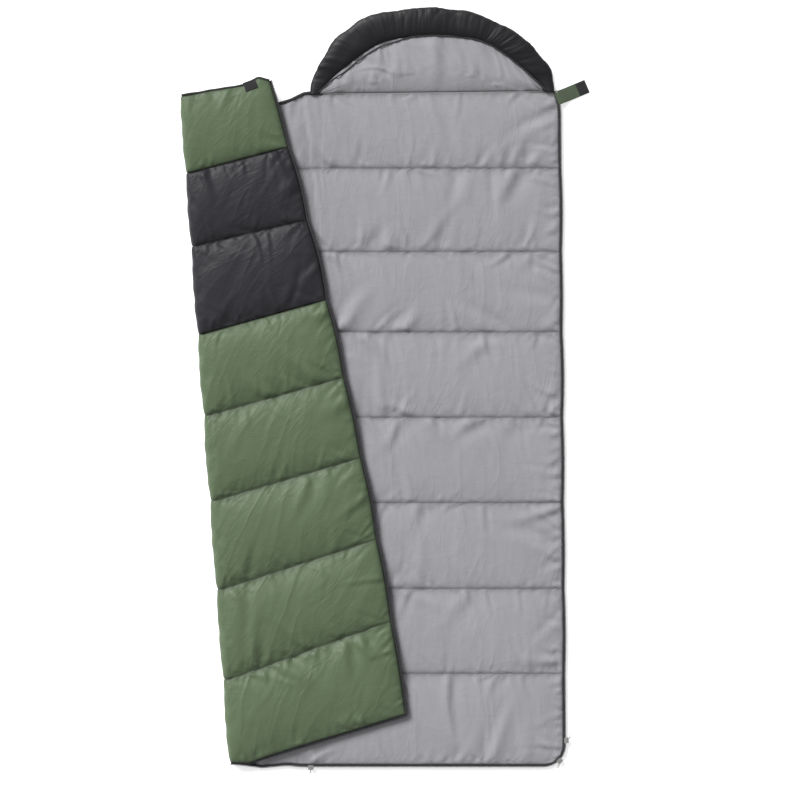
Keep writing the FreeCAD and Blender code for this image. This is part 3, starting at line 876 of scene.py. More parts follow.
def tape_finish(name, colour, pitch, depth, roughness=0.75):
    """Woven tape or ribbon: ribs across, threads along, a little fluff."""
    made = Finish(name, roughness, Sheen_Weight=0.3, Sheen_Roughness=0.5)
    uv = made.node("ShaderNodeUVMap", {"uv_map": "cloth"}, {})
    along = made.node("ShaderNodeSeparateXYZ", {}, {0: uv}, 0)
    across = made.node("ShaderNodeSeparateXYZ", {}, {0: uv}, 1)
    ribs = (along * (2 * math.pi / pitch) + across * (math.pi / pitch)).sine() * 0.5 + 0.5
    fluff = made.noise(made.cloth_way(300, 500), 1.0, 3, 0.7)
    dusty = made.noise(made.cloth_way(12, 30), 1.0, 3, 0.6)
    shade = made.between(ribs, tinted(colour, 0.7), tinted(colour, 1.35))
    worn = made.between(dusty * fluff * 0.6, shade, tinted(colour, 2.4))
    return made.feed(Base_Color=worn, Roughness=fluff * 0.2 + (roughness - 0.1),
                     Normal=made.raised(ribs * 0.8 + fluff * 0.3, depth, 0.7))


def moulded_finish(name, colour):
    """Nylon zip teeth: slight gloss, scuffed on top."""
    made = Finish(name, 0.42, Specular_IOR_Level=0.5)
    place = made.node("ShaderNodeTexCoord", {}, {}, "Object")
    scuff = made.noise(place, 900, 3, 0.6)
    patches = made.noise(place, 35, 3, 0.6)
    shade = made.between(scuff * patches, tinted(colour, 0.8), tinted(colour, 2.2))
    return made.feed(Base_Color=shade, Roughness=scuff * 0.3 + 0.3,
                     Normal=made.raised(scuff, 0.08 * MM, 0.4))


def metal_finish(name, colour):
    """Plated zinc casting: fine brushing, dull marks and brighter rubbed patches."""
    made = Finish(name, 0.32, Metallic=1.0)
    place = made.node("ShaderNodeTexCoord", {}, {}, "Object")
    stretched = made.node("ShaderNodeMapping", {}, {"Vector": place, "Scale": (300, 3000, 1500)})
    brushed = made.noise(stretched, 1.0, 3, 0.6)
    marks = made.noise(place, 260, 4, 0.65)
    shade = made.between(marks, tinted(colour, 0.7), tinted(colour, 1.25))
    return made.feed(Base_Color=shade, Roughness=brushed * 0.25 + marks * 0.2 + 0.12,
                     Normal=made.raised(brushed * 0.5 + marks, 0.05 * MM, 0.35))


def pile_finish(name, colour, scale, depth):
    """Hook or loop tape: small tufts, scale of them in a metre."""
    made = Finish(name, 0.9, Sheen_Weight=0.35)
    tufts = made.node("ShaderNodeTexVoronoi", {"feature": "F1"},
                      {"Vector": made.cloth_way(scale, scale), "Scale": 1.0, "Randomness": 0.7})
    fibres = made.noise(made.cloth_way(2500, 2500), 1.0, 3, 0.7)
    shade = made.between(tufts, tinted(colour, 1.7), tinted(colour, 0.5))
    return made.feed(Base_Color=shade, Roughness=fibres * 0.15 + 0.8,
                     Normal=made.raised((1 - tufts) + fibres * 0.3, depth, 0.9))


def floor_finish():
    """Matt pale paper with the faintest grain, lit a little from below to keep shadows faint."""
    made = Finish("floor_paper", 0.9, Emission_Color=(1, 1, 1, 1), Emission_Strength=0.5)
    place = made.node("ShaderNodeTexCoord", {}, {}, "Object")
    grain = made.noise(place, 40, 3, 0.6)
    shade = made.between(grain, (0.93, 0.93, 0.93), (0.96, 0.96, 0.96))
    return made.feed(Base_Color=shade, Roughness=grain * 0.05 + 0.86)


FINISHES = {}


def finish(name):
    """The named material, made the first time it is asked for."""
    if name not in FINISHES:
        colours = bpy.context.scene.bag_colours
        green, black, grey = tuple(colours.green), tuple(colours.black), tuple(colours.grey)
        makers = {
            "green_shell": lambda n: shell_finish(n, green, 0.5, 3.4 * MM, 0.3, 0.5),
            "black_shell": lambda n: shell_finish(n, black, 0.5, 3.6 * MM, 0.25, 0.7),
            "rim_shell": lambda n: shell_finish(n, tinted(black, 0.42), 0.5, 3.0 * MM, 0.28),
            "grey_lining": lambda n: shell_finish(n, grey, 0.62, 2.6 * MM, 0.25),
            "batting": lambda n: filling_finish(n, tuple(colours.filling)),
            "thread": lambda n: tape_finish(n, tinted(grey, 0.35), 0.7 * MM, 0.1 * MM, 0.6),
            "dark_thread": lambda n: tape_finish(n, tinted(black, 0.8), 0.7 * MM, 0.1 * MM, 0.6),
            "zip_tape": lambda n: tape_finish(n, tinted(black, 0.55), 1.4 * MM, 0.25 * MM),
            "zip_coil": lambda n: moulded_finish(n, tinted(black, 0.5)),
            "binding": lambda n: tape_finish(n, tinted(black, 0.5), 1.1 * MM, 0.2 * MM),
            "metal": lambda n: metal_finish(n, tuple(colours.metal)),
            "elastic": lambda n: tape_finish(n, tinted(grey, 1.4), 1.5 * MM, 0.3 * MM),
            "green_webbing": lambda n: tape_finish(n, tinted(green, 0.5), 1.3 * MM, 0.3 * MM),
            "hook_loop": lambda n: pile_finish(n, tinted(black, 0.3), 700, 0.6 * MM),
        }
        FINISHES[name] = makers[name](name)
    return FINISHES[name]


# ---------------------------------------------------------------- the panels

BACK_EDGE = Outline("back_lining")
STRIP_EDGE = Outline("side_lining")
FLAP_EDGE = Outline("flap_lining")
BACK_SEAMS = seam_ends("back_quilt_stitches")
STRIP_SEAMS = seam_ends("side_quilt_stitches")
FLAP_SEAMS = seam_ends("flap_quilt_stitches")
NECK_Y = SIDE_SEAM.at_y(NECK_LINE.point[1])[1] - 0.5 * MM
FOOT_Y = BACK_EDGE.loop[:, 1].min()
BANDS = (("top", 0, 1, "green_shell"), ("band", 1, 3, "black_shell"), ("main", 3, 8, "green_shell"))


def seam_line(y, shift=0.0):
    """Point of the side seam at y, shifted along X."""
    return SIDE_SEAM.at_y(y, shift)


def fold_line(y, shift=0.0):
    """Point of the fold line at y, shifted along X."""
    return FOLD_LINE.at_y(y, shift)


def back_panel(columns, step, shift=0.0):
    """Back panel in plan, from the side seam to the zip."""
    ends = ((0, 0, seam_line(NECK_Y, shift)), (len(BACK_SEAMS) + 1, 0, seam_line(FOOT_Y, shift)))
    pairs = [(seam_line(a[1], shift), BACK_EDGE.nearest(b)) for a, b in BACK_SEAMS]
    return Panel(BACK_EDGE, pairs, columns, step, left=lambda y: seam_line(y, shift), ends=ends,
                 swell=BACK_SWELL)


def strip_panel(columns, step, fold_shift=0.0, seam_shift=0.0):
    """Hidden part of the cover in plan, from the fold line to the side seam."""
    pairs = [(fold_line(a[1], fold_shift), seam_line(back[0][1], seam_shift))
             for (a, _), back in zip(STRIP_SEAMS, BACK_SEAMS)]
    ends = ((0, 1, seam_line(NECK_Y, seam_shift)), (len(pairs) + 1, 1, seam_line(FOOT_Y, seam_shift)))
    return Panel(STRIP_EDGE, pairs, columns, step, left=lambda y: fold_line(y, fold_shift),
                 right=lambda y: seam_line(y, seam_shift), ends=ends)


def flap_panel(columns, step, fold_shift=0.0):
    """Folded flap in plan, from the fold line to the zip."""
    pairs = [(fold_line(a[1], fold_shift), FLAP_EDGE.nearest(b)) for a, b in FLAP_SEAMS]
    return Panel(FLAP_EDGE, pairs, columns, step, left=lambda y: fold_line(y, fold_shift), swell=FLAP_SWELL)


def flap_top(flap):
    """Heights of the flap's outside before its cloth settles."""
    return flap.loft(rail_heights(FLAP_NECK_Z, FLAP_SEAM, FLAP_NECK_Z - 1 * MM), FLAP_CREST + 1.5 * MM,
                     right=FLAP_EDGE_Z + 1 * MM)


def base_surface(back):
    """Points of the back panel's outside, which lies on the ground."""
    rails = rail_heights(EDGE_Z - 2 * MM, BASE_SEAM, EDGE_Z - 0.6 * MM)
    return surface(back.plan, back.loft(rails, BASE_CREST, right=EDGE_Z - 0.6 * MM, reach=40 * MM))


def zip_edge(panel):
    """Right edge and foot edge of a panel in plan, from the neck to the foot's left end."""
    return np.concatenate((panel.plan[:, -1], panel.plan[-1, -2::-1]))


def like(panel, other):
    """The panel's rows moved to the row places of another, channel by channel."""
    rows = []
    for channel in range(len(panel.rails) - 1):
        part = panel.plan[panel.rails[channel]:panel.rails[channel + 1] + 1]
        places = np.append(panel.down[panel.channel == channel], 1.0)[:len(part)]
        places[-1] = 1.0
        wanted = other.down[other.channel == channel]
        if channel < len(panel.rails) - 2:
            wanted = wanted[:other.rails[channel + 1] - other.rails[channel]]
        moved = np.empty((len(wanted), part.shape[1], 2))
        for axis in (0, 1):
            for column in range(part.shape[1]):
                moved[:, column, axis] = np.interp(wanted, places, part[:, column, axis])
        rows.append(moved)
    return Panel.laid_out(np.concatenate(rows), other.rails, other.down, other.channel)


def rail_heights(neck, seam, foot):
    """Height of the neck edge, of every seam and of the foot edge."""
    return [neck] + [seam] * len(BACK_SEAMS) + [foot]


def held_rows(panel):
    """The stitched rows and the edge columns of a panel's grid."""
    held = np.zeros(panel.plan.shape[:2], bool)
    held[panel.rails] = True
    held[:, [0, -1]] = True
    return held


def across_seam(piece):
    """Bakes the piece's placing into its points."""
    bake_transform(piece)


def across_fold(piece):
    """Bakes the piece's placing into its points."""
    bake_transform(piece)


def make_lining():
    """One sheet from the fold line over the side seam to the zip."""
    sewing = bpy.context.scene.bag_sewing
    back = back_panel(106, LINING_STEP)
    strip = like(strip_panel(42, LINING_STEP), back)
    whole = strip.joined(back)
    height = whole.loft(rail_heights(LINING_SEAM, LINING_SEAM, EDGE_Z), LINING_CREST - 7 * MM,
                        left=FOLD_Z - 0.4 * MM, right=EDGE_Z + 0.6 * MM)
    points = surface(whole.plan, height)
    points = settle(points, held_rows(whole), sewing.fullness, 0.8, sewing.frames, most=2.5 * MM)
    points[..., 2] += whole.creases(1.9 * sewing.pucker, 3)
    points[..., 2] += whole.away_from_seams() * drag_fold(whole.plan)
    points[..., 2] = under_ceiling(points[..., 2], FLAP_LOW - 0.8 * MM)
    points[..., 2] = np.maximum(points[..., 2], EDGE_Z - 2.5 * MM)
    # The drag fold's groove joins the seam mask, so the lining carries painted shade in that fold.
    near = np.maximum(whole.nearness(), np.clip(drag_fold(whole.plan) / -DRAG_GROOVE, 0, 1) ** 2 * 0.35)
    piece = sheet_piece("lining_sheet", points, finish("grey_lining"), near)
    dress(piece, ("back_lining", "side_lining"))
    across_seam(piece)
    declare_sheet(piece, whole, "laid", ["base_filling", "strip_filling"])


def drag_fold(plan):
    """Grooves at the side seam and along the fold that the turned cover drags out of it."""
    x, y = plan[..., 0], plan[..., 1]
    seam_x = SIDE_SEAM.point[0] + (y - SIDE_SEAM.point[1]) * SIDE_SEAM.axis[0] / SIDE_SEAM.axis[1]
    # How far up the drag fold a point lies, as a share, and how far to the right of it
    up = np.clip((y - DRAG_END_Y) / (NECK_END_Y - DRAG_END_Y), 0, 1.05)
    beside = x - seam_x + DRAG_START * up - 2.5 * MM * sway(y, 15, 41)
    groove = bump(beside, 7 * MM) - 0.6 * bump(beside - 16 * MM, 9 * MM)
    groove += 0.6 * bump(beside + 18 * MM, 7 * MM) * np.sin(y / (27 * MM)) ** 2
    return -DRAG_GROOVE * groove * smooth(up / 0.3) - SIDE_GROOVE * bump(x - seam_x, 4 * MM)


def under_ceiling(z, ceiling, ease=3 * MM):
    """Heights pressed softly below a ceiling, so that folds stay visible near it."""
    over = np.maximum(z - (ceiling - ease), 0)
    return np.minimum(z, ceiling - ease) + ease * np.tanh(over / ease)


def fold_wrap(top_row, low_row, y, fullness):
    """Points of the cover's outside round the fold, from the upper tangent to the lower one."""
    turn = np.linspace(0, math.pi, 13)[None, :]
    middle = (top_row + low_row)[:, None] / 2
    half = (top_row - low_row)[:, None] / 2
    uneven = 1.2 * np.sin(y / (21 * MM)) * np.sin(y / (57 * MM) + 1) + 0.8 * np.sin(y / (9 * MM))
    reach = FOLD_INSET + ((1 + 6 * fullness) + uneven * fullness)[:, None] * MM
    x_fold = np.array([fold_line(each)[0] for each in y])[:, None]
    x = x_fold + FOLD_INSET - reach * np.sin(turn)
    z = middle + half * np.cos(turn)
    return np.stack((x, np.broadcast_to(y[:, None], x.shape), z), axis=-1)


def make_cover():
    """Outside of the cover: flap on top, round the fold, hidden part underneath."""
    sewing = bpy.context.scene.bag_sewing
    flap = flap_panel(82, COVER_STEP, FOLD_INSET)
    low = like(strip_panel(26, COVER_STEP, FOLD_INSET, -GUSSET_HALF), flap)
    top_z = flap_top(flap)
    low_z = low.loft(rail_heights(EDGE_Z - 1 * MM, BASE_SEAM, EDGE_Z - 1 * MM), BASE_CREST)
    wrap = fold_wrap(top_z[:, 0], low_z[:, 0], flap.plan[:, 0, 1], crown(flap.down))
    lean = (low.plan[:, 0, 1] - flap.plan[:, 0, 1])[:, None]
    wrap[..., 1] += lean * np.linspace(0, 1, wrap.shape[1])[None]
    top = surface(flap.plan, top_z)
    both = np.concatenate((wrap[:, ::-1][:, :-1], top), axis=1)
    held = np.zeros(both.shape[:2], bool)
    held[flap.rails] = True
    held[:, :3] = held[:, -1] = True
    both = settle(both, held, sewing.fullness * 1.25, 1.2, sewing.frames, most=9 * MM)
    turned = wrap.shape[1] - 1
    flat = both[:, turned:]
    flat[..., 2] += flap.creases(1.3 * sewing.pucker, 11, 0.35, 1.25, FLAP_LIFE)
    flat[..., 2] = under_ceiling(flat[..., 2], FLAP_CREST + 10 * MM)
    flat[..., 2] = np.maximum(flat[..., 2], FLAP_TOP_LOW)
    under = surface(low.plan, low_z)[:, :0:-1]
    points = np.concatenate((under, both), axis=1)
    points[..., 2] = np.maximum(points[..., 2], 0.3 * MM)
    near_top, near_low = flap.nearness(left=False), low.nearness(left=False)
    near_wrap = np.repeat(near_top[:, :1], wrap.shape[1] - 1, axis=1)
    seam = np.concatenate((near_low[:, :0:-1], near_wrap, near_top), axis=1)
    for band, first, last, colour in BANDS:
        rows = flap.band(first, last)
        part = points[rows]
        piece = sheet_piece("cover_sheet_" + band, part, finish(colour), seam[rows])
        dress(piece, ("flap_shell_" + band, "side_shell_" + band))
        across_fold(piece)


def make_flap_lining():
    """Inner fabric of the flap, facing the lining that it lies on."""
    flap = flap_panel(44, HIDDEN_STEP)
    height = 2 * FLAP_LOW - flap.loft(rail_heights(14 * MM, 17 * MM, 15 * MM), FLAP_LOW - 0.5 * MM,
                                      left=FLAP_LOW + 0.3 * MM, right=2 * FLAP_LOW - FLAP_EDGE_Z + 1 * MM)
    points = surface(flap.plan, height)
    piece = sheet_piece("flap_lining_sheet", points, finish("grey_lining"), flap.nearness(), flip=True)
    dress(piece, ["flap_lining"], "cover_flap")
    declare_sheet(piece, flap, "laid", ["lining_sheet"])


def make_base():
    """Outer fabric underneath the back panel."""
    back = back_panel(60, HIDDEN_STEP, GUSSET_HALF)
    points = base_surface(back)
    for band, first, last, colour in BANDS:
        rows = back.band(first, last)
        piece = sheet_piece("base_sheet_" + band, points[rows], finish(colour),
                            back.nearness()[rows], flip=True)
        dress(piece, ["back_shell_" + band], "back_panel")
        declare_sheet(piece, back, "laid", rows=rows)


def make_gusset():
    """Narrow strips of outer fabric that let the side seam open and close."""
    back = back_panel(60, HIDDEN_STEP, GUSSET_HALF)
    columns = 15
    across = np.linspace(-GUSSET_HALF, GUSSET_HALF, columns)
    plan = np.stack([[seam_line(y, shift) for shift in across] for y in back.plan[:, 0, 1]])
    points = surface(plan, base_surface(back)[:, :columns, 2])
    for band, first, last, colour in BANDS:
        rows = back.band(first, last)
        near = back.nearness()[rows][:, 6:7].repeat(columns, axis=1)
        piece = sheet_piece("side_seam_gusset_" + band, points[rows], finish(colour), near, flip=True)
        across_seam(piece)


def quilt_pad(panel, low_z, high_z):
    """Points and faces of the soft pads between two heights, one in each channel."""
    step = 2        # every second point of the panel's grid is enough for wadding
    points, faces, count = [], [], 0
    for channel in range(len(panel.rails) - 1):
        rows = np.arange(panel.rails[channel] + 1, panel.rails[channel + 1], step)
        columns = np.arange(1, panel.plan.shape[1] - 1, step)
        pick = np.ix_(rows, columns)
        middle = (high_z[pick] + low_z[pick]) / 2
        half = np.maximum((high_z[pick] - low_z[pick]) / 2 - PAD_MARGIN, 0.4 * MM)
        points.append(surface(panel.plan[pick], middle + half).reshape(-1, 3))
        points.append(surface(panel.plan[pick], middle - half).reshape(-1, 3))
        quads = grid_faces(*middle.shape)
        index = np.arange(middle.size).reshape(middle.shape)
        rim = np.concatenate((index[:, 0], index[-1, 1:], index[-2::-1, -1], index[0, -2:0:-1]))
        ahead = np.roll(rim, -1)
        walls = np.stack((rim, rim + middle.size, ahead + middle.size, ahead), axis=1)
        for group in (quads, quads[:, ::-1] + middle.size, walls):
            faces.extend((group + count).tolist())
        count += 2 * middle.size
    return np.concatenate(points), faces


def make_filling(name, node, panel, low_z, high_z, body=None):
    """Wadding of one panel, clear of the seams; without a body its placing is baked into its points."""
    points, faces = quilt_pad(panel, low_z, high_z)
    piece = new_piece(name, points, faces, finish("batting"), points[:, :2])
    tidy_normals(piece)
    dress(piece, [node], body)
    if body is None:
        across_neck(piece)


def make_fillings():
    """Wadding of the back panel, of the hidden part of the cover and of the flap."""
    top = rail_heights(LINING_SEAM, LINING_SEAM, EDGE_Z)
    low = rail_heights(EDGE_Z - 2 * MM, BASE_SEAM, EDGE_Z - 1 * MM)
    back = back_panel(70, HIDDEN_STEP, GUSSET_HALF)
    under = back.loft(low, BASE_CREST, right=EDGE_Z)
    high = back.loft(top, LINING_CREST - 10 * MM, right=EDGE_Z)
    make_filling("base_filling", "back_batting", back, under, high, "back_panel")
    strip = strip_panel(32, HIDDEN_STEP, FOLD_INSET, -GUSSET_HALF)
    under = strip.loft(low, BASE_CREST)
    high = strip.loft(top, LINING_CREST - 10 * MM)
    make_filling("strip_filling", "side_batting", strip, under, high, "cover_side")
    flap = flap_panel(48, HIDDEN_STEP, FOLD_INSET)
    seam = FLAP_SEAM - 1 * MM
    under = flap.loft(rail_heights(FLAP_NECK_Z, seam, seam), FLAP_LOW + 1 * MM, right=FLAP_EDGE_Z)
    high = flap.loft(rail_heights(FLAP_NECK_Z, FLAP_SEAM, FLAP_NECK_Z), FLAP_CREST - 8 * MM,
                     right=FLAP_EDGE_Z)
    make_filling("flap_filling", "flap_batting", flap, under, high, "cover_flap")


# ---------------------------------------------------------------- hood

HOOD_EDGE = Outline("hood_lining")
RIM_EDGE = Outline("rim_cover", top=False)
RIM_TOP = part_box("rim_cover")[1].z
RIM_END = 22 * MM       # height of the rim near the neck line
RIM_RISE = (40 * MM, 110 * MM)  # it rises to its full height between these distances from that line
FLANK = 0.34            # share of the arch over which each flank of the hood's mouth runs straighter
MOUTH_SHIFT = (-15 * MM, 2 * MM)    # left and right end of the mouth are moved this far along X
RIM_SHIFT = (-13 * MM, 4 * MM)      # and those of the rim's outer line this far
SHOULDER = (0.26, 20 * MM, 0.12)        # place, fullness and spread of the rim's left shoulder
SHELL_LAP = 8 * MM      # the hood's outside is sewn on this far under the rim
HEM_INSET = 9 * MM      # on the left flank the hem lies this far inside the mouth
HEM_REACH = 8 * MM      # how near a point of the lining counts as under the hem
RIM_LAP = 6 * MM        # both ends of the rim lie this far over the back panel
GATHER_DEPTH = 1.2 * MM
LUMP_HEIGHT = 3.2 * MM  # how far the wadding swells the rim between its gathers
HEM_W = 4 * MM
HEM_H = 3 * MM
RIM_SQUARE = 0.86       # 1 makes the rim's section an ellipse, less makes it squarer


def arch(edge, places):
    """Points along an arch of the hood from its left end to its right end."""
    left, right = edge.corner(-1, -0.3), edge.corner(1, -0.3)
    return edge.path(left, right, places, via=edge.corner(0, 1))


def mouth(places):
    """Line where the rim meets the lining: the arch, with flanks that start at 45 degrees."""
    places = np.asarray(places, float)
    line = arch(HOOD_EDGE, places)
    for end, way, shift in ((0.0, 1, MOUTH_SHIFT[0]), (1.0, -1, MOUTH_SHIFT[1])):
        meet = abs(end - FLANK)
        start = arch(HOOD_EDGE, [end])[0] + np.array((shift, 0))
        join, beyond = arch(HOOD_EDGE, [meet, meet + 0.01 * way])
        slope = np.array((way, 1.0))
        reach = np.linalg.solve(np.stack((slope, beyond - join), axis=1), join - start)[0]
        turn = start + reach * slope
        share = (places - end) / (meet - end)
        t = np.clip(share, 0, 1)[:, None]
        flank = (1 - t) ** 2 * start + 2 * t * (1 - t) * turn + t ** 2 * join
        line = np.where(share[:, None] < 1, flank, line)
    return line


def rim_outside(places):
    """Outer line of the rim in plan, fuller over the left shoulder."""
    line = arch(RIM_EDGE, places)
    out = outward_of(line, (line[0] + line[-1]) / 2)[:, :2]
    full = SHOULDER[1] * bump(places - SHOULDER[0], SHOULDER[2])
    line = line + full[:, None] * out
    for near, shift in ((places, RIM_SHIFT[0]), (1 - places, RIM_SHIFT[1])):
        line[:, 0] += shift * (1 - smooth(near / 0.16))
    return line


def across_neck(piece):
    """Bakes the piece's placing into its points."""
    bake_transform(piece)


def hood_panel(columns, rows, beyond=0.0):
    """Hood in plan, from the neck line to the rim or a little beyond its inner edge."""
    places = 0.012 + 0.976 * shares(columns, 0.3)
    over = mouth(places)
    over = over + beyond * outward_of(over, (over[0] + over[-1]) / 2)[:, :2]
    under = np.stack([NECK_LINE.at_x(x, 0.4 * MM) for x in over[:, 0]])
    down = shares(rows, 0.3)
    plan = under[None] + down[:, None, None] * (over - under)[None]
    return Panel.laid_out(plan[::-1], [0, rows - 1], down, np.zeros(rows, int))


def make_hood():
    """Lining, outer fabric and wadding of the hood, and the hem along its rim."""
    sewing = bpy.context.scene.bag_sewing
    panel = hood_panel(110, 44)
    high = panel.loft([19 * MM, LINING_SEAM], LINING_CREST - 1 * MM, left=17 * MM, right=17 * MM,
                      reach=30 * MM)
    points = surface(panel.plan, high)
    points = settle(points, held_rows(panel), 1.3 * sewing.fullness, 0.8, sewing.frames, most=5 * MM)
    points[..., 2] += panel.creases(1.3 * sewing.pucker, 29, 0.0, 1.6)
    lining = sheet_piece("hood_lining_sheet", points, finish("grey_lining"), panel.nearness())
    dress(lining, ["hood_lining"])
    plain = hood_panel(60, 16)
    low = plain.loft([3 * MM, EDGE_Z - 2 * MM], BASE_CREST, left=6 * MM, right=6 * MM)
    wider = hood_panel(60, 16, SHELL_LAP)
    under = wider.loft([5 * MM, EDGE_Z - 2 * MM], BASE_CREST, left=6 * MM, right=6 * MM)
    outer = sheet_piece("hood_shell_sheet", surface(wider.plan, under), finish("black_shell"),
                        wider.nearness(), flip=True)
    dress(outer, ["hood_shell"])
    for piece, cut in ((lining, panel), (outer, wider)):
        across_neck(piece)
        declare_sheet(piece, cut, "gathered", ["hood_filling"])
    top = plain.loft([17 * MM, LINING_SEAM], LINING_CREST - 6 * MM, left=16 * MM, right=16 * MM)
    make_filling("hood_filling", "hood_batting", plain, low, top)
    make_hem(points.reshape(-1, 3))


def make_hem(lining):
    """Narrow bound hem between the hood's lining and its rim; it rides on the lining."""
    path = mouth(np.linspace(0.004, 0.996, 260))
    run = np.linspace(0, 1, len(path))
    centre = np.concatenate((path, 0 * path[:, :1]), axis=1)
    out = outward_of(centre, centre[:, :2].mean(0))
    inset = HEM_W / 2 + HEM_INSET * smooth((run - 0.03) / 0.07) * (1 - smooth((run - 0.34) / 0.1))
    centre = centre - out * inset[:, None]
    apart = np.linalg.norm(lining[:, None, :2] - centre[None, :, :2], axis=2)
    lying = np.where(apart < HEM_REACH, lining[:, 2, None], 0).max(0)
    lift = LINING_CREST + 0.4 * MM + 0.9 * MM * np.sin(run * 71) * np.sin(run * 23 + 1)
    lift = lift - 6 * MM * (1 - smooth(np.minimum(run, 1 - run) / 0.05))
    lift = np.maximum(lift, lying + 0.8 * MM)
    centre[:, 2] = np.convolve(np.pad(lift, 4, mode="edge"), np.ones(9) / 9, mode="valid")
    hem = swept("hood_hem", centre, out, oval(HEM_W, HEM_H, 10), finish("binding"))
    dress(hem, ["hood_piping"])
    across_neck(hem)


def rim_sections(stations, around, shrink=0.0):
    """Closed sections of the rolled rim: plan middle, outward direction and profile."""
    places = np.linspace(0.003, 0.997, stations)
    inner, outer = mouth(places), rim_outside(places)
    lap = RIM_LAP * (1 - smooth(np.minimum(places, 1 - places) / 0.03))
    inner[:, 1] -= lap
    outer[:, 1] -= lap
    across = outer - inner
    wide = np.linalg.norm(across, axis=1)
    out = np.concatenate((across / wide[:, None], np.zeros((stations, 1))), axis=1)
    above = (inner[:, 1] + outer[:, 1]) / 2 - NECK_LINE.point[1]
    rise = smooth((above - RIM_RISE[0]) / (RIM_RISE[1] - RIM_RISE[0]))
    tall = RIM_END + (RIM_TOP - RIM_END) * rise
    turn = np.linspace(0, 2 * math.pi, around, endpoint=False)
    c, s = np.cos(turn), np.sin(turn)
    x = np.sign(c) * np.abs(c) ** RIM_SQUARE * (wide[:, None] / 2 - shrink)
    half = tall[:, None] / 2
    z = half + np.sign(s) * np.abs(s) ** RIM_SQUARE * (half - 0.4 * MM - shrink)
    middle = np.concatenate(((inner + outer) / 2, np.zeros((stations, 1))), axis=1)
    return places, turn, middle, out, x, z, wide


def rim_gathers(places, turn, count):
    """Depth of the gathers round the rim: soft bulges with narrow creases between."""
    draw = np.random.default_rng(41)
    run, round_it = places[:, None], turn[None]
    total = np.zeros((len(places), len(turn)))
    for share, size in ((0.42, 1.0), (0.78, 1.0), (1.0, 0.8), (1.63, 0.5)):
        sway = 0.9 * np.sin(round_it + draw.uniform(0, 6)) + 0.5 * np.sin(2 * round_it + 9 * run)
        phase = math.pi * count * share * run + sway + 1.6 * np.sin(19 * run + draw.uniform(0, 6))
        drift = 2.1 * count * share * run / 7 + 1.5 * round_it + draw.uniform(0, 6)
        patchy = 0.35 + 0.65 * np.sin(drift) ** 2
        total += size * patchy * (1 - np.abs(np.sin(phase)) ** 0.55)
    lengthwise = np.maximum(0, np.sin(3 * round_it + 5 * np.sin(4 * run))) ** 3 * np.sin(9 * run) ** 2
    return total + 0.9 * lengthwise


def make_rim():
    """Rolled and gathered rim of the hood with its wadding."""
    stations, around = 420, 40
    places, turn, middle, out, x, z, wide = rim_sections(stations, around)
    depth = GATHER_DEPTH * rim_gathers(places, turn, bpy.context.scene.bag_sewing.gathers)
    depth *= (smooth(np.minimum(places, 1 - places) / 0.04) * np.minimum(wide / (60 * MM), 1))[:, None]
    c, s = np.cos(turn)[None], np.sin(turn)[None]
    lumps = np.sin(41 * places + 1) + 0.8 * np.sin(67 * places + 2) * np.sin(9 * places)
    flank = 0.35 + 0.65 * np.abs(2 * places - 1)
    swell = (LUMP_HEIGHT * lumps * flank * smooth(np.minimum(places, 1 - places) / 0.08))[:, None]
    free = smooth((c + 0.8) / 1.3)      # 0 at the inner edge, which is sewn over the hem
    x = x + (swell - depth) * c * free - HEM_W * 0.6 * (1 - free)
    z = np.maximum(z - depth * np.maximum(s, 0) + 0.5 * swell * s, 0.4 * MM)
    section = np.stack((x, z), axis=-1)
    sleeve = swept("rim_sleeve", middle, out, section, finish("rim_shell"))
    dress(sleeve, ["rim_cover"])
    across_neck(sleeve)
    _, _, middle, out, x, z, _ = rim_sections(120, 16, 6 * MM)
    inner = swept("rim_filling", middle[1:-1], out[1:-1], np.stack((x, z), axis=-1)[1:-1], finish("batting"))
    dress(inner, ["rim_batting"])
    across_neck(inner)


# ---------------------------------------------------------------- zips, bindings and seams

def edge_run(points, outside, step):
    """An edge of a panel as an evenly stepped line with its outward directions."""
    line = resampled(points, step)
    return line, outward_of(line, outside)


def lifted(plan, z):
    """A line in plan carried to one height."""
    return np.concatenate((plan, np.full((len(plan), 1), z)), axis=1)


def tooth_unit(pitch):
    """One moulded zip tooth, modelled at the origin."""
    deselect()
    bpy.ops.mesh.primitive_cube_add(size=1)
    tooth = bpy.context.object
    tooth.scale = (0.62 * pitch, COIL_W, 0.9 * COIL_W)
    bpy.ops.object.transform_apply(scale=True)
    bpy.ops.object.mode_set(mode="EDIT")
    bpy.ops.mesh.select_all(action="SELECT")
    bpy.ops.mesh.bevel(offset=0.5 * MM, segments=1)
    bpy.ops.object.mode_set(mode="OBJECT")
    return tooth


def make_zip(name, points, inside, node, body):
    """Woven tape and teeth along an edge of a panel."""
    sewing = bpy.context.scene.bag_sewing
    line, out = edge_run(points, inside, ZIP_STEP)
    run = np.linspace(0, len(line) * ZIP_STEP, len(line))
    line[:, 2] += 0.5 * MM * sway(run, 31, 83, 1)
    tape = swept(name + "_tape_woven", line + out * (TAPE_W - TAPE_SEWN) / 2, out,
                 oval(TAPE_W + TAPE_SEWN, TAPE_THICK, 8, 3.5), finish("zip_tape"))
    dress(tape, [node + "_zip_tape"], body)
    teeth_line = resampled(line + out * (TAPE_W + COIL_W / 2 - 0.4 * MM), sewing.tooth)
    teeth_out = outward_of(teeth_line, inside)
    teeth = repeated(name + "_teeth", tooth_unit(sewing.tooth), placings(teeth_line, teeth_out),
                     finish("zip_coil"))
    dress(teeth, [node + "_zip_coil"], body)


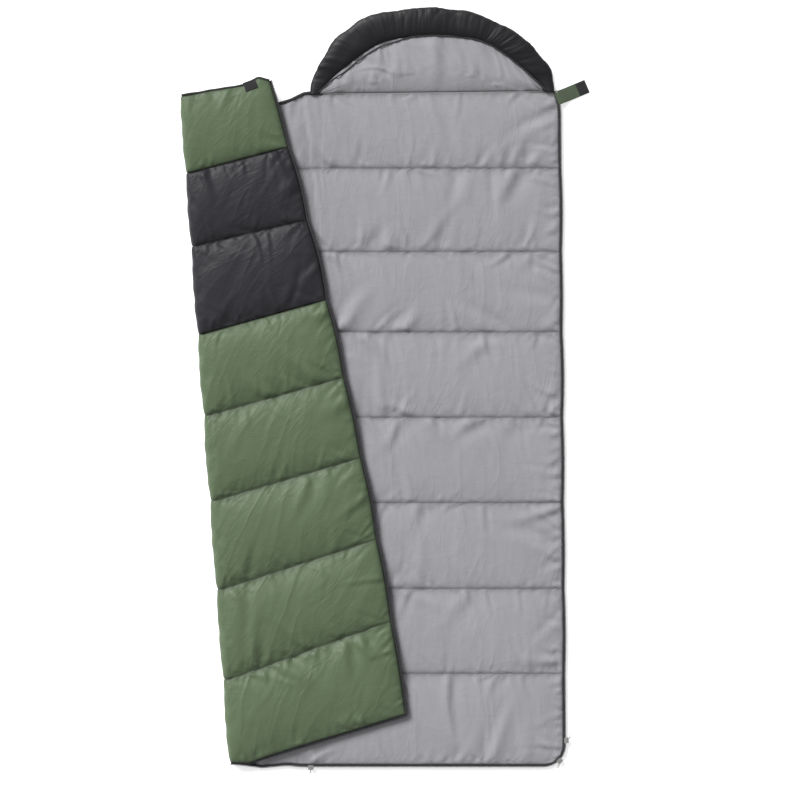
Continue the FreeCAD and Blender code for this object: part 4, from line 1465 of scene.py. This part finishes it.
def make_zips():
    """Zip half round the back panel, zip half of the flap and foot zip of the hidden part."""
    back = back_panel(60, HIDDEN_STEP)
    make_zip("base", lifted(zip_edge(back), EDGE_Z), back.plan[:, 30].mean(0), "back", "back_panel")
    flap = flap_panel(50, HIDDEN_STEP)
    make_zip("flap", lifted(zip_edge(flap), FLAP_EDGE_Z), flap.plan[:, 10].mean(0), "flap", "cover_flap")
    strip = strip_panel(30, HIDDEN_STEP)
    make_zip("strip", lifted(strip.plan[-1], EDGE_Z), strip.plan[:, 15].mean(0), "side", "cover_side")


def make_bindings():
    """Folded ribbon round the raw neck edges of the cover."""
    flap = flap_panel(50, HIDDEN_STEP)
    strip = strip_panel(40, HIDDEN_STEP)
    rim_foot = arch(HOOD_EDGE, [0.0])[0] - np.array((12 * MM, -4 * MM))
    strip_neck = np.concatenate((strip.plan[0], [rim_foot]))
    for name, path, z, wide, tall, node, body in (
            ("flap_neck_ribbon", flap.plan[0], FLAP_NECK_Z - 1 * MM, 6.5 * MM, 6 * MM, "flap", "cover_flap"),
            ("strip_neck_ribbon", strip_neck, EDGE_Z, 9 * MM, 9 * MM, "side", "cover_side")):
        line, out = edge_run(lifted(path, z), path.mean(0) - np.array((0, 0.4)), 5 * MM)
        run = np.arange(len(line)) * 5 * MM
        line[:, 2] += 0.7 * MM * np.sin(run / (19 * MM))
        line += out * (0.8 * MM * sway(run, 11, 37))[:, None]
        ribbon = swept(name, line + out * (wide / 2 - 1.5 * MM), out, oval(wide, tall, 12, 3),
                       finish("binding"))
        dress(ribbon, [node + "_neck_binding"], body)


def stitch_unit(length):
    """One stitch: a short thread pressed into the cloth, modelled at the origin."""
    deselect()
    bpy.ops.mesh.primitive_uv_sphere_add(segments=6, ring_count=4, radius=0.5)
    stitch = bpy.context.object
    stitch.scale = (0.72 * length, 0.9 * MM, 0.7 * MM)
    bpy.ops.object.transform_apply(scale=True)
    return stitch


def make_seam_thread(name, panel, height, lift, colour, node, body):
    """Lines of stitches along the quilt seams of one panel."""
    pitch = bpy.context.scene.bag_sewing.stitch
    placed = []
    for rail in panel.rails[1:-1]:
        line = np.concatenate((panel.plan[rail], height[rail][:, None] + lift), axis=1)
        line = resampled(line[1:-1], pitch)
        side = np.repeat([[0.0, 1.0, 0.0]], len(line), axis=0)
        placed.append(placings(line, side))
    thread = repeated(name, stitch_unit(pitch), np.concatenate(placed), finish(colour))
    dress(thread, [node + "_quilt_stitches"], body)


def make_seams():
    """Stitches of the back panel, of the hidden part of the cover and of the flap."""
    back = back_panel(60, HIDDEN_STEP, SEAM_TURN)
    seams = rail_heights(LINING_SEAM, LINING_SEAM, EDGE_Z)
    make_seam_thread("base_seam_thread", back, back.loft(seams, LINING_CREST, right=EDGE_Z + 0.6 * MM),
                     0.3 * MM, "thread", "back", "back_panel")
    strip = strip_panel(40, HIDDEN_STEP, FOLD_INSET, -SEAM_TURN)
    low = strip.loft(rail_heights(EDGE_Z, BASE_SEAM, EDGE_Z), BASE_CREST)
    make_seam_thread("strip_seam_thread", strip, low, -0.9 * MM, "dark_thread", "side", "cover_side")
    flap = flap_panel(50, HIDDEN_STEP, FOLD_INSET)
    high = flap.loft(rail_heights(FLAP_NECK_Z, FLAP_SEAM, FLAP_NECK_Z), FLAP_CREST,
                     right=FLAP_EDGE_Z + 1 * MM)
    make_seam_thread("flap_seam_thread", flap, high, 0.3 * MM, "dark_thread", "flap", "cover_flap")


# ---------------------------------------------------------------- closure and sliders

def tab_frame():
    """Root, outward direction, reach and half width of the closure tab."""
    root = TAB_LINE.point[:2]
    out = np.array((-TAB_LINE.axis[1], TAB_LINE.axis[0]))
    side = np.array((-out[1], out[0]))
    strap = np.array([v.co[:2] for v in frame["nodes"]["tab_strap"].data.vertices]) - root
    return root, out, side, (strap @ out).max(), np.abs(strap @ side).max()


def make_tab():
    """Webbing tab sewn into the zip edge, with its hook patch."""
    root, out, side, reach, half = tab_frame()
    along = np.linspace(-TAB_TAIL, reach, 46)
    across = np.linspace(half, -half, 20)
    plan = root + along[:, None, None] * out + across[None, :, None] * side
    drop = smooth(along / TAB_DROP)
    z = (EDGE_Z + 1 * MM) * (1 - drop) + 1.6 * MM * drop
    curl = 1.2 * MM * np.cos(across / half * 1.4)[None] * np.sin(along / reach * 5)[:, None] * drop[:, None]
    height = np.maximum(z[:, None] + curl, 1.5 * MM)
    strap = sheet_piece("tab_strap_webbing", surface(plan, height), finish("green_webbing"), None,
                        1.2 * MM)
    tidy_normals(strap)
    dress(strap, ["tab_strap"])
    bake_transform(strap)
    place = np.array([v.co[:2] for v in frame["nodes"]["tab_hook_patch"].data.vertices]) - root
    hold = np.linspace((place @ out).min(), (place @ out).max(), 12)
    wide = np.linspace(1, -1, 14) * np.abs(place @ side).max()
    plan = root + hold[:, None, None] * out + wide[None, :, None] * side
    hooks = sheet_piece("tab_hooks", surface(plan, np.full(plan.shape[:2], 3.4 * MM)),
                        finish("hook_loop"), None, 1.4 * MM)
    tidy_normals(hooks)
    dress(hooks, ["tab_hook_patch"], "closure_tab")


def make_loops():
    """Loop patch that lies on the flap near its neck edge."""
    corners = Outline("flap_loop_patch").loop[:4]
    u, v = np.linspace(0, 1, 14)[:, None, None], np.linspace(0, 1, 18)[None, :, None]
    plan = corners[0] + u * (corners[1] - corners[0]) + v * (corners[3] - corners[0])
    flap = flap_panel(62, COVER_STEP, FOLD_INSET)
    upper = slice(0, 40)        # rows of the flap that the patch can lie on
    away = np.linalg.norm(plan[:, :, None, None] - flap.plan[None, None, upper], axis=-1)
    near = bump(away, 7 * MM)
    height = (near * flap_top(flap)[upper]).sum((2, 3)) / near.sum((2, 3)) + 2.6 * MM
    loops = sheet_piece("flap_loops", surface(plan, height), finish("hook_loop"), None, 1.5 * MM)
    tidy_normals(loops)
    dress(loops, ["flap_loop_patch"], "cover_flap")


def finish_frame_parts():
    """Metal on the sliders and stops, and woven elastic inside the rim."""
    for name, node in frame["nodes"].items():
        metal = "slider" in name or name.endswith("zip_stops")
        if metal or name == "rim_elastic":
            node.data.materials.clear()
            node.data.materials.append(finish("metal" if metal else "elastic"))


# ---------------------------------------------------------------- stage

FLOOR_SIDE = 40.0
KEY_TURN = math.radians(37)     # how far the key light is turned from the hood end to the left
VIEW_SHIFT = (40.6 * MM, -25.7 * MM)    # the camera stands this far from the middle of the bag's box


def make_stage():
    """Pale floor, soft light from the hood end and all round, camera straight above."""
    stage = bpy.context.scene.bag_stage
    low, high = CAD_BOX
    middle = (low + high) / 2
    deselect()
    bpy.ops.mesh.primitive_plane_add(size=FLOOR_SIDE, location=(0, 0, 0))
    floor = bpy.context.object
    floor.name = "floor"
    floor.data.materials.append(floor_finish())
    light = bpy.data.lights.new("key_light", "SUN")
    light.energy = stage.key
    light.angle = stage.key_spread
    key = bpy.data.objects.new("key_light", light)
    key.location = (middle.x, middle.y + stage.distance / 2, stage.distance / 2)
    key.rotation_euler = (stage.key_height - math.pi / 2, 0, KEY_TURN)
    bpy.context.scene.collection.objects.link(key)
    world = bpy.data.worlds.new("soft_sky")
    world.use_nodes = True
    background = world.node_tree.nodes["Background"]
    background.inputs["Color"].default_value = (1.0, 1.0, 1.0, 1)
    background.inputs["Strength"].default_value = stage.sky
    bpy.context.scene.world = world
    bpy.context.scene.view_settings.view_transform = "Standard"
    lens = bpy.data.cameras.new("camera")
    lens.sensor_width = 36
    lens.lens = lens.sensor_width * stage.distance / stage.width
    lens.clip_end = 100
    camera = bpy.data.objects.new("camera", lens)
    camera.location = (middle.x + VIEW_SHIFT[0], middle.y + VIEW_SHIFT[1], stage.distance + high.z / 2)
    bpy.context.scene.collection.objects.link(camera)
    bpy.context.scene.camera = camera


# ---------------------------------------------------------------- the add-on

class BAG_OT_lining(bpy.types.Operator):
    """Sews the grey lining of the back panel and of the hidden part of the cover"""
    bl_idname = "bag.lining"
    bl_label = "Lining"

    def execute(self, context):
        make_lining()
        return {"FINISHED"}


class BAG_OT_cover(bpy.types.Operator):
    """Sews the outside of the folded cover in its three colour bands"""
    bl_idname = "bag.cover"
    bl_label = "Cover Outside"

    def execute(self, context):
        make_cover()
        return {"FINISHED"}


class BAG_OT_flap_lining(bpy.types.Operator):
    """Sews the lining of the flap"""
    bl_idname = "bag.flap_lining"
    bl_label = "Flap Lining"

    def execute(self, context):
        make_flap_lining()
        return {"FINISHED"}


class BAG_OT_base(bpy.types.Operator):
    """Sews the outside of the back panel and the side seam gusset"""
    bl_idname = "bag.base"
    bl_label = "Back Outside"

    def execute(self, context):
        make_base()
        make_gusset()
        return {"FINISHED"}


class BAG_OT_filling(bpy.types.Operator):
    """Lays the wadding into the channels of all three panels"""
    bl_idname = "bag.filling"
    bl_label = "Wadding"

    def execute(self, context):
        make_fillings()
        return {"FINISHED"}


class BAG_OT_hood(bpy.types.Operator):
    """Sews the hood with its lining, wadding and hem"""
    bl_idname = "bag.hood"
    bl_label = "Hood"

    def execute(self, context):
        make_hood()
        return {"FINISHED"}


class BAG_OT_rim(bpy.types.Operator):
    """Rolls and gathers the rim of the hood"""
    bl_idname = "bag.rim"
    bl_label = "Hood Rim"

    def execute(self, context):
        make_rim()
        return {"FINISHED"}


class BAG_OT_zips(bpy.types.Operator):
    """Sews on the three zip halves with their teeth"""
    bl_idname = "bag.zips"
    bl_label = "Zips"

    def execute(self, context):
        make_zips()
        return {"FINISHED"}


class BAG_OT_bindings(bpy.types.Operator):
    """Binds the neck edges of the cover"""
    bl_idname = "bag.bindings"
    bl_label = "Neck Bindings"

    def execute(self, context):
        make_bindings()
        return {"FINISHED"}


class BAG_OT_seams(bpy.types.Operator):
    """Stitches the quilt seams"""
    bl_idname = "bag.seams"
    bl_label = "Quilt Seams"

    def execute(self, context):
        make_seams()
        return {"FINISHED"}


class BAG_OT_closure(bpy.types.Operator):
    """Makes the closure tab with its hook patch and the loop patch on the flap"""
    bl_idname = "bag.closure"
    bl_label = "Closure"

    def execute(self, context):
        make_tab()
        make_loops()
        return {"FINISHED"}


class BAG_OT_frame_parts(bpy.types.Operator):
    """Gives the zip sliders, stops and rim elastic their finishes"""
    bl_idname = "bag.frame_parts"
    bl_label = "Sliders and Elastic"

    def execute(self, context):
        finish_frame_parts()
        return {"FINISHED"}


class BAG_OT_stage(bpy.types.Operator):
    """Sets up the floor, the lights and the camera"""
    bl_idname = "bag.stage"
    bl_label = "Stage"

    def execute(self, context):
        make_stage()
        return {"FINISHED"}


STEPS = (BAG_OT_stage, BAG_OT_lining, BAG_OT_cover, BAG_OT_flap_lining, BAG_OT_base, BAG_OT_filling,
         BAG_OT_hood, BAG_OT_rim, BAG_OT_zips, BAG_OT_bindings, BAG_OT_seams, BAG_OT_closure,
         BAG_OT_frame_parts)
SETTINGS = (("bag_colours", BagColours), ("bag_sewing", BagSewing), ("bag_stage", BagStage))


class BAG_PT_panel(bpy.types.Panel):
    """Sizes, colours and making steps of the sleeping bag"""
    bl_idname = "BAG_PT_panel"
    bl_label = "Sleeping Bag"
    bl_space_type = "VIEW_3D"
    bl_region_type = "UI"
    bl_category = "Sleeping Bag"

    def draw(self, context):
        for name, group in SETTINGS:
            box = self.layout.box()
            for key in group.__annotations__:
                box.prop(getattr(context.scene, name), key)
        for step in STEPS:
            self.layout.operator(step.bl_idname)


def register():
    for name, group in SETTINGS:
        bpy.utils.register_class(group)
        setattr(bpy.types.Scene, name, PointerProperty(type=group))
    for kind in (*STEPS, BAG_PT_panel):
        bpy.utils.register_class(kind)


def unregister():
    for kind in reversed((*STEPS, BAG_PT_panel)):
        bpy.utils.unregister_class(kind)
    for name, group in SETTINGS:
        delattr(bpy.types.Scene, name)
        bpy.utils.unregister_class(group)


def main():
    register()
    for step in STEPS:
        group, action = step.bl_idname.split(".")
        getattr(getattr(bpy.ops, group), action)()


if __name__ == "__main__":
    main()
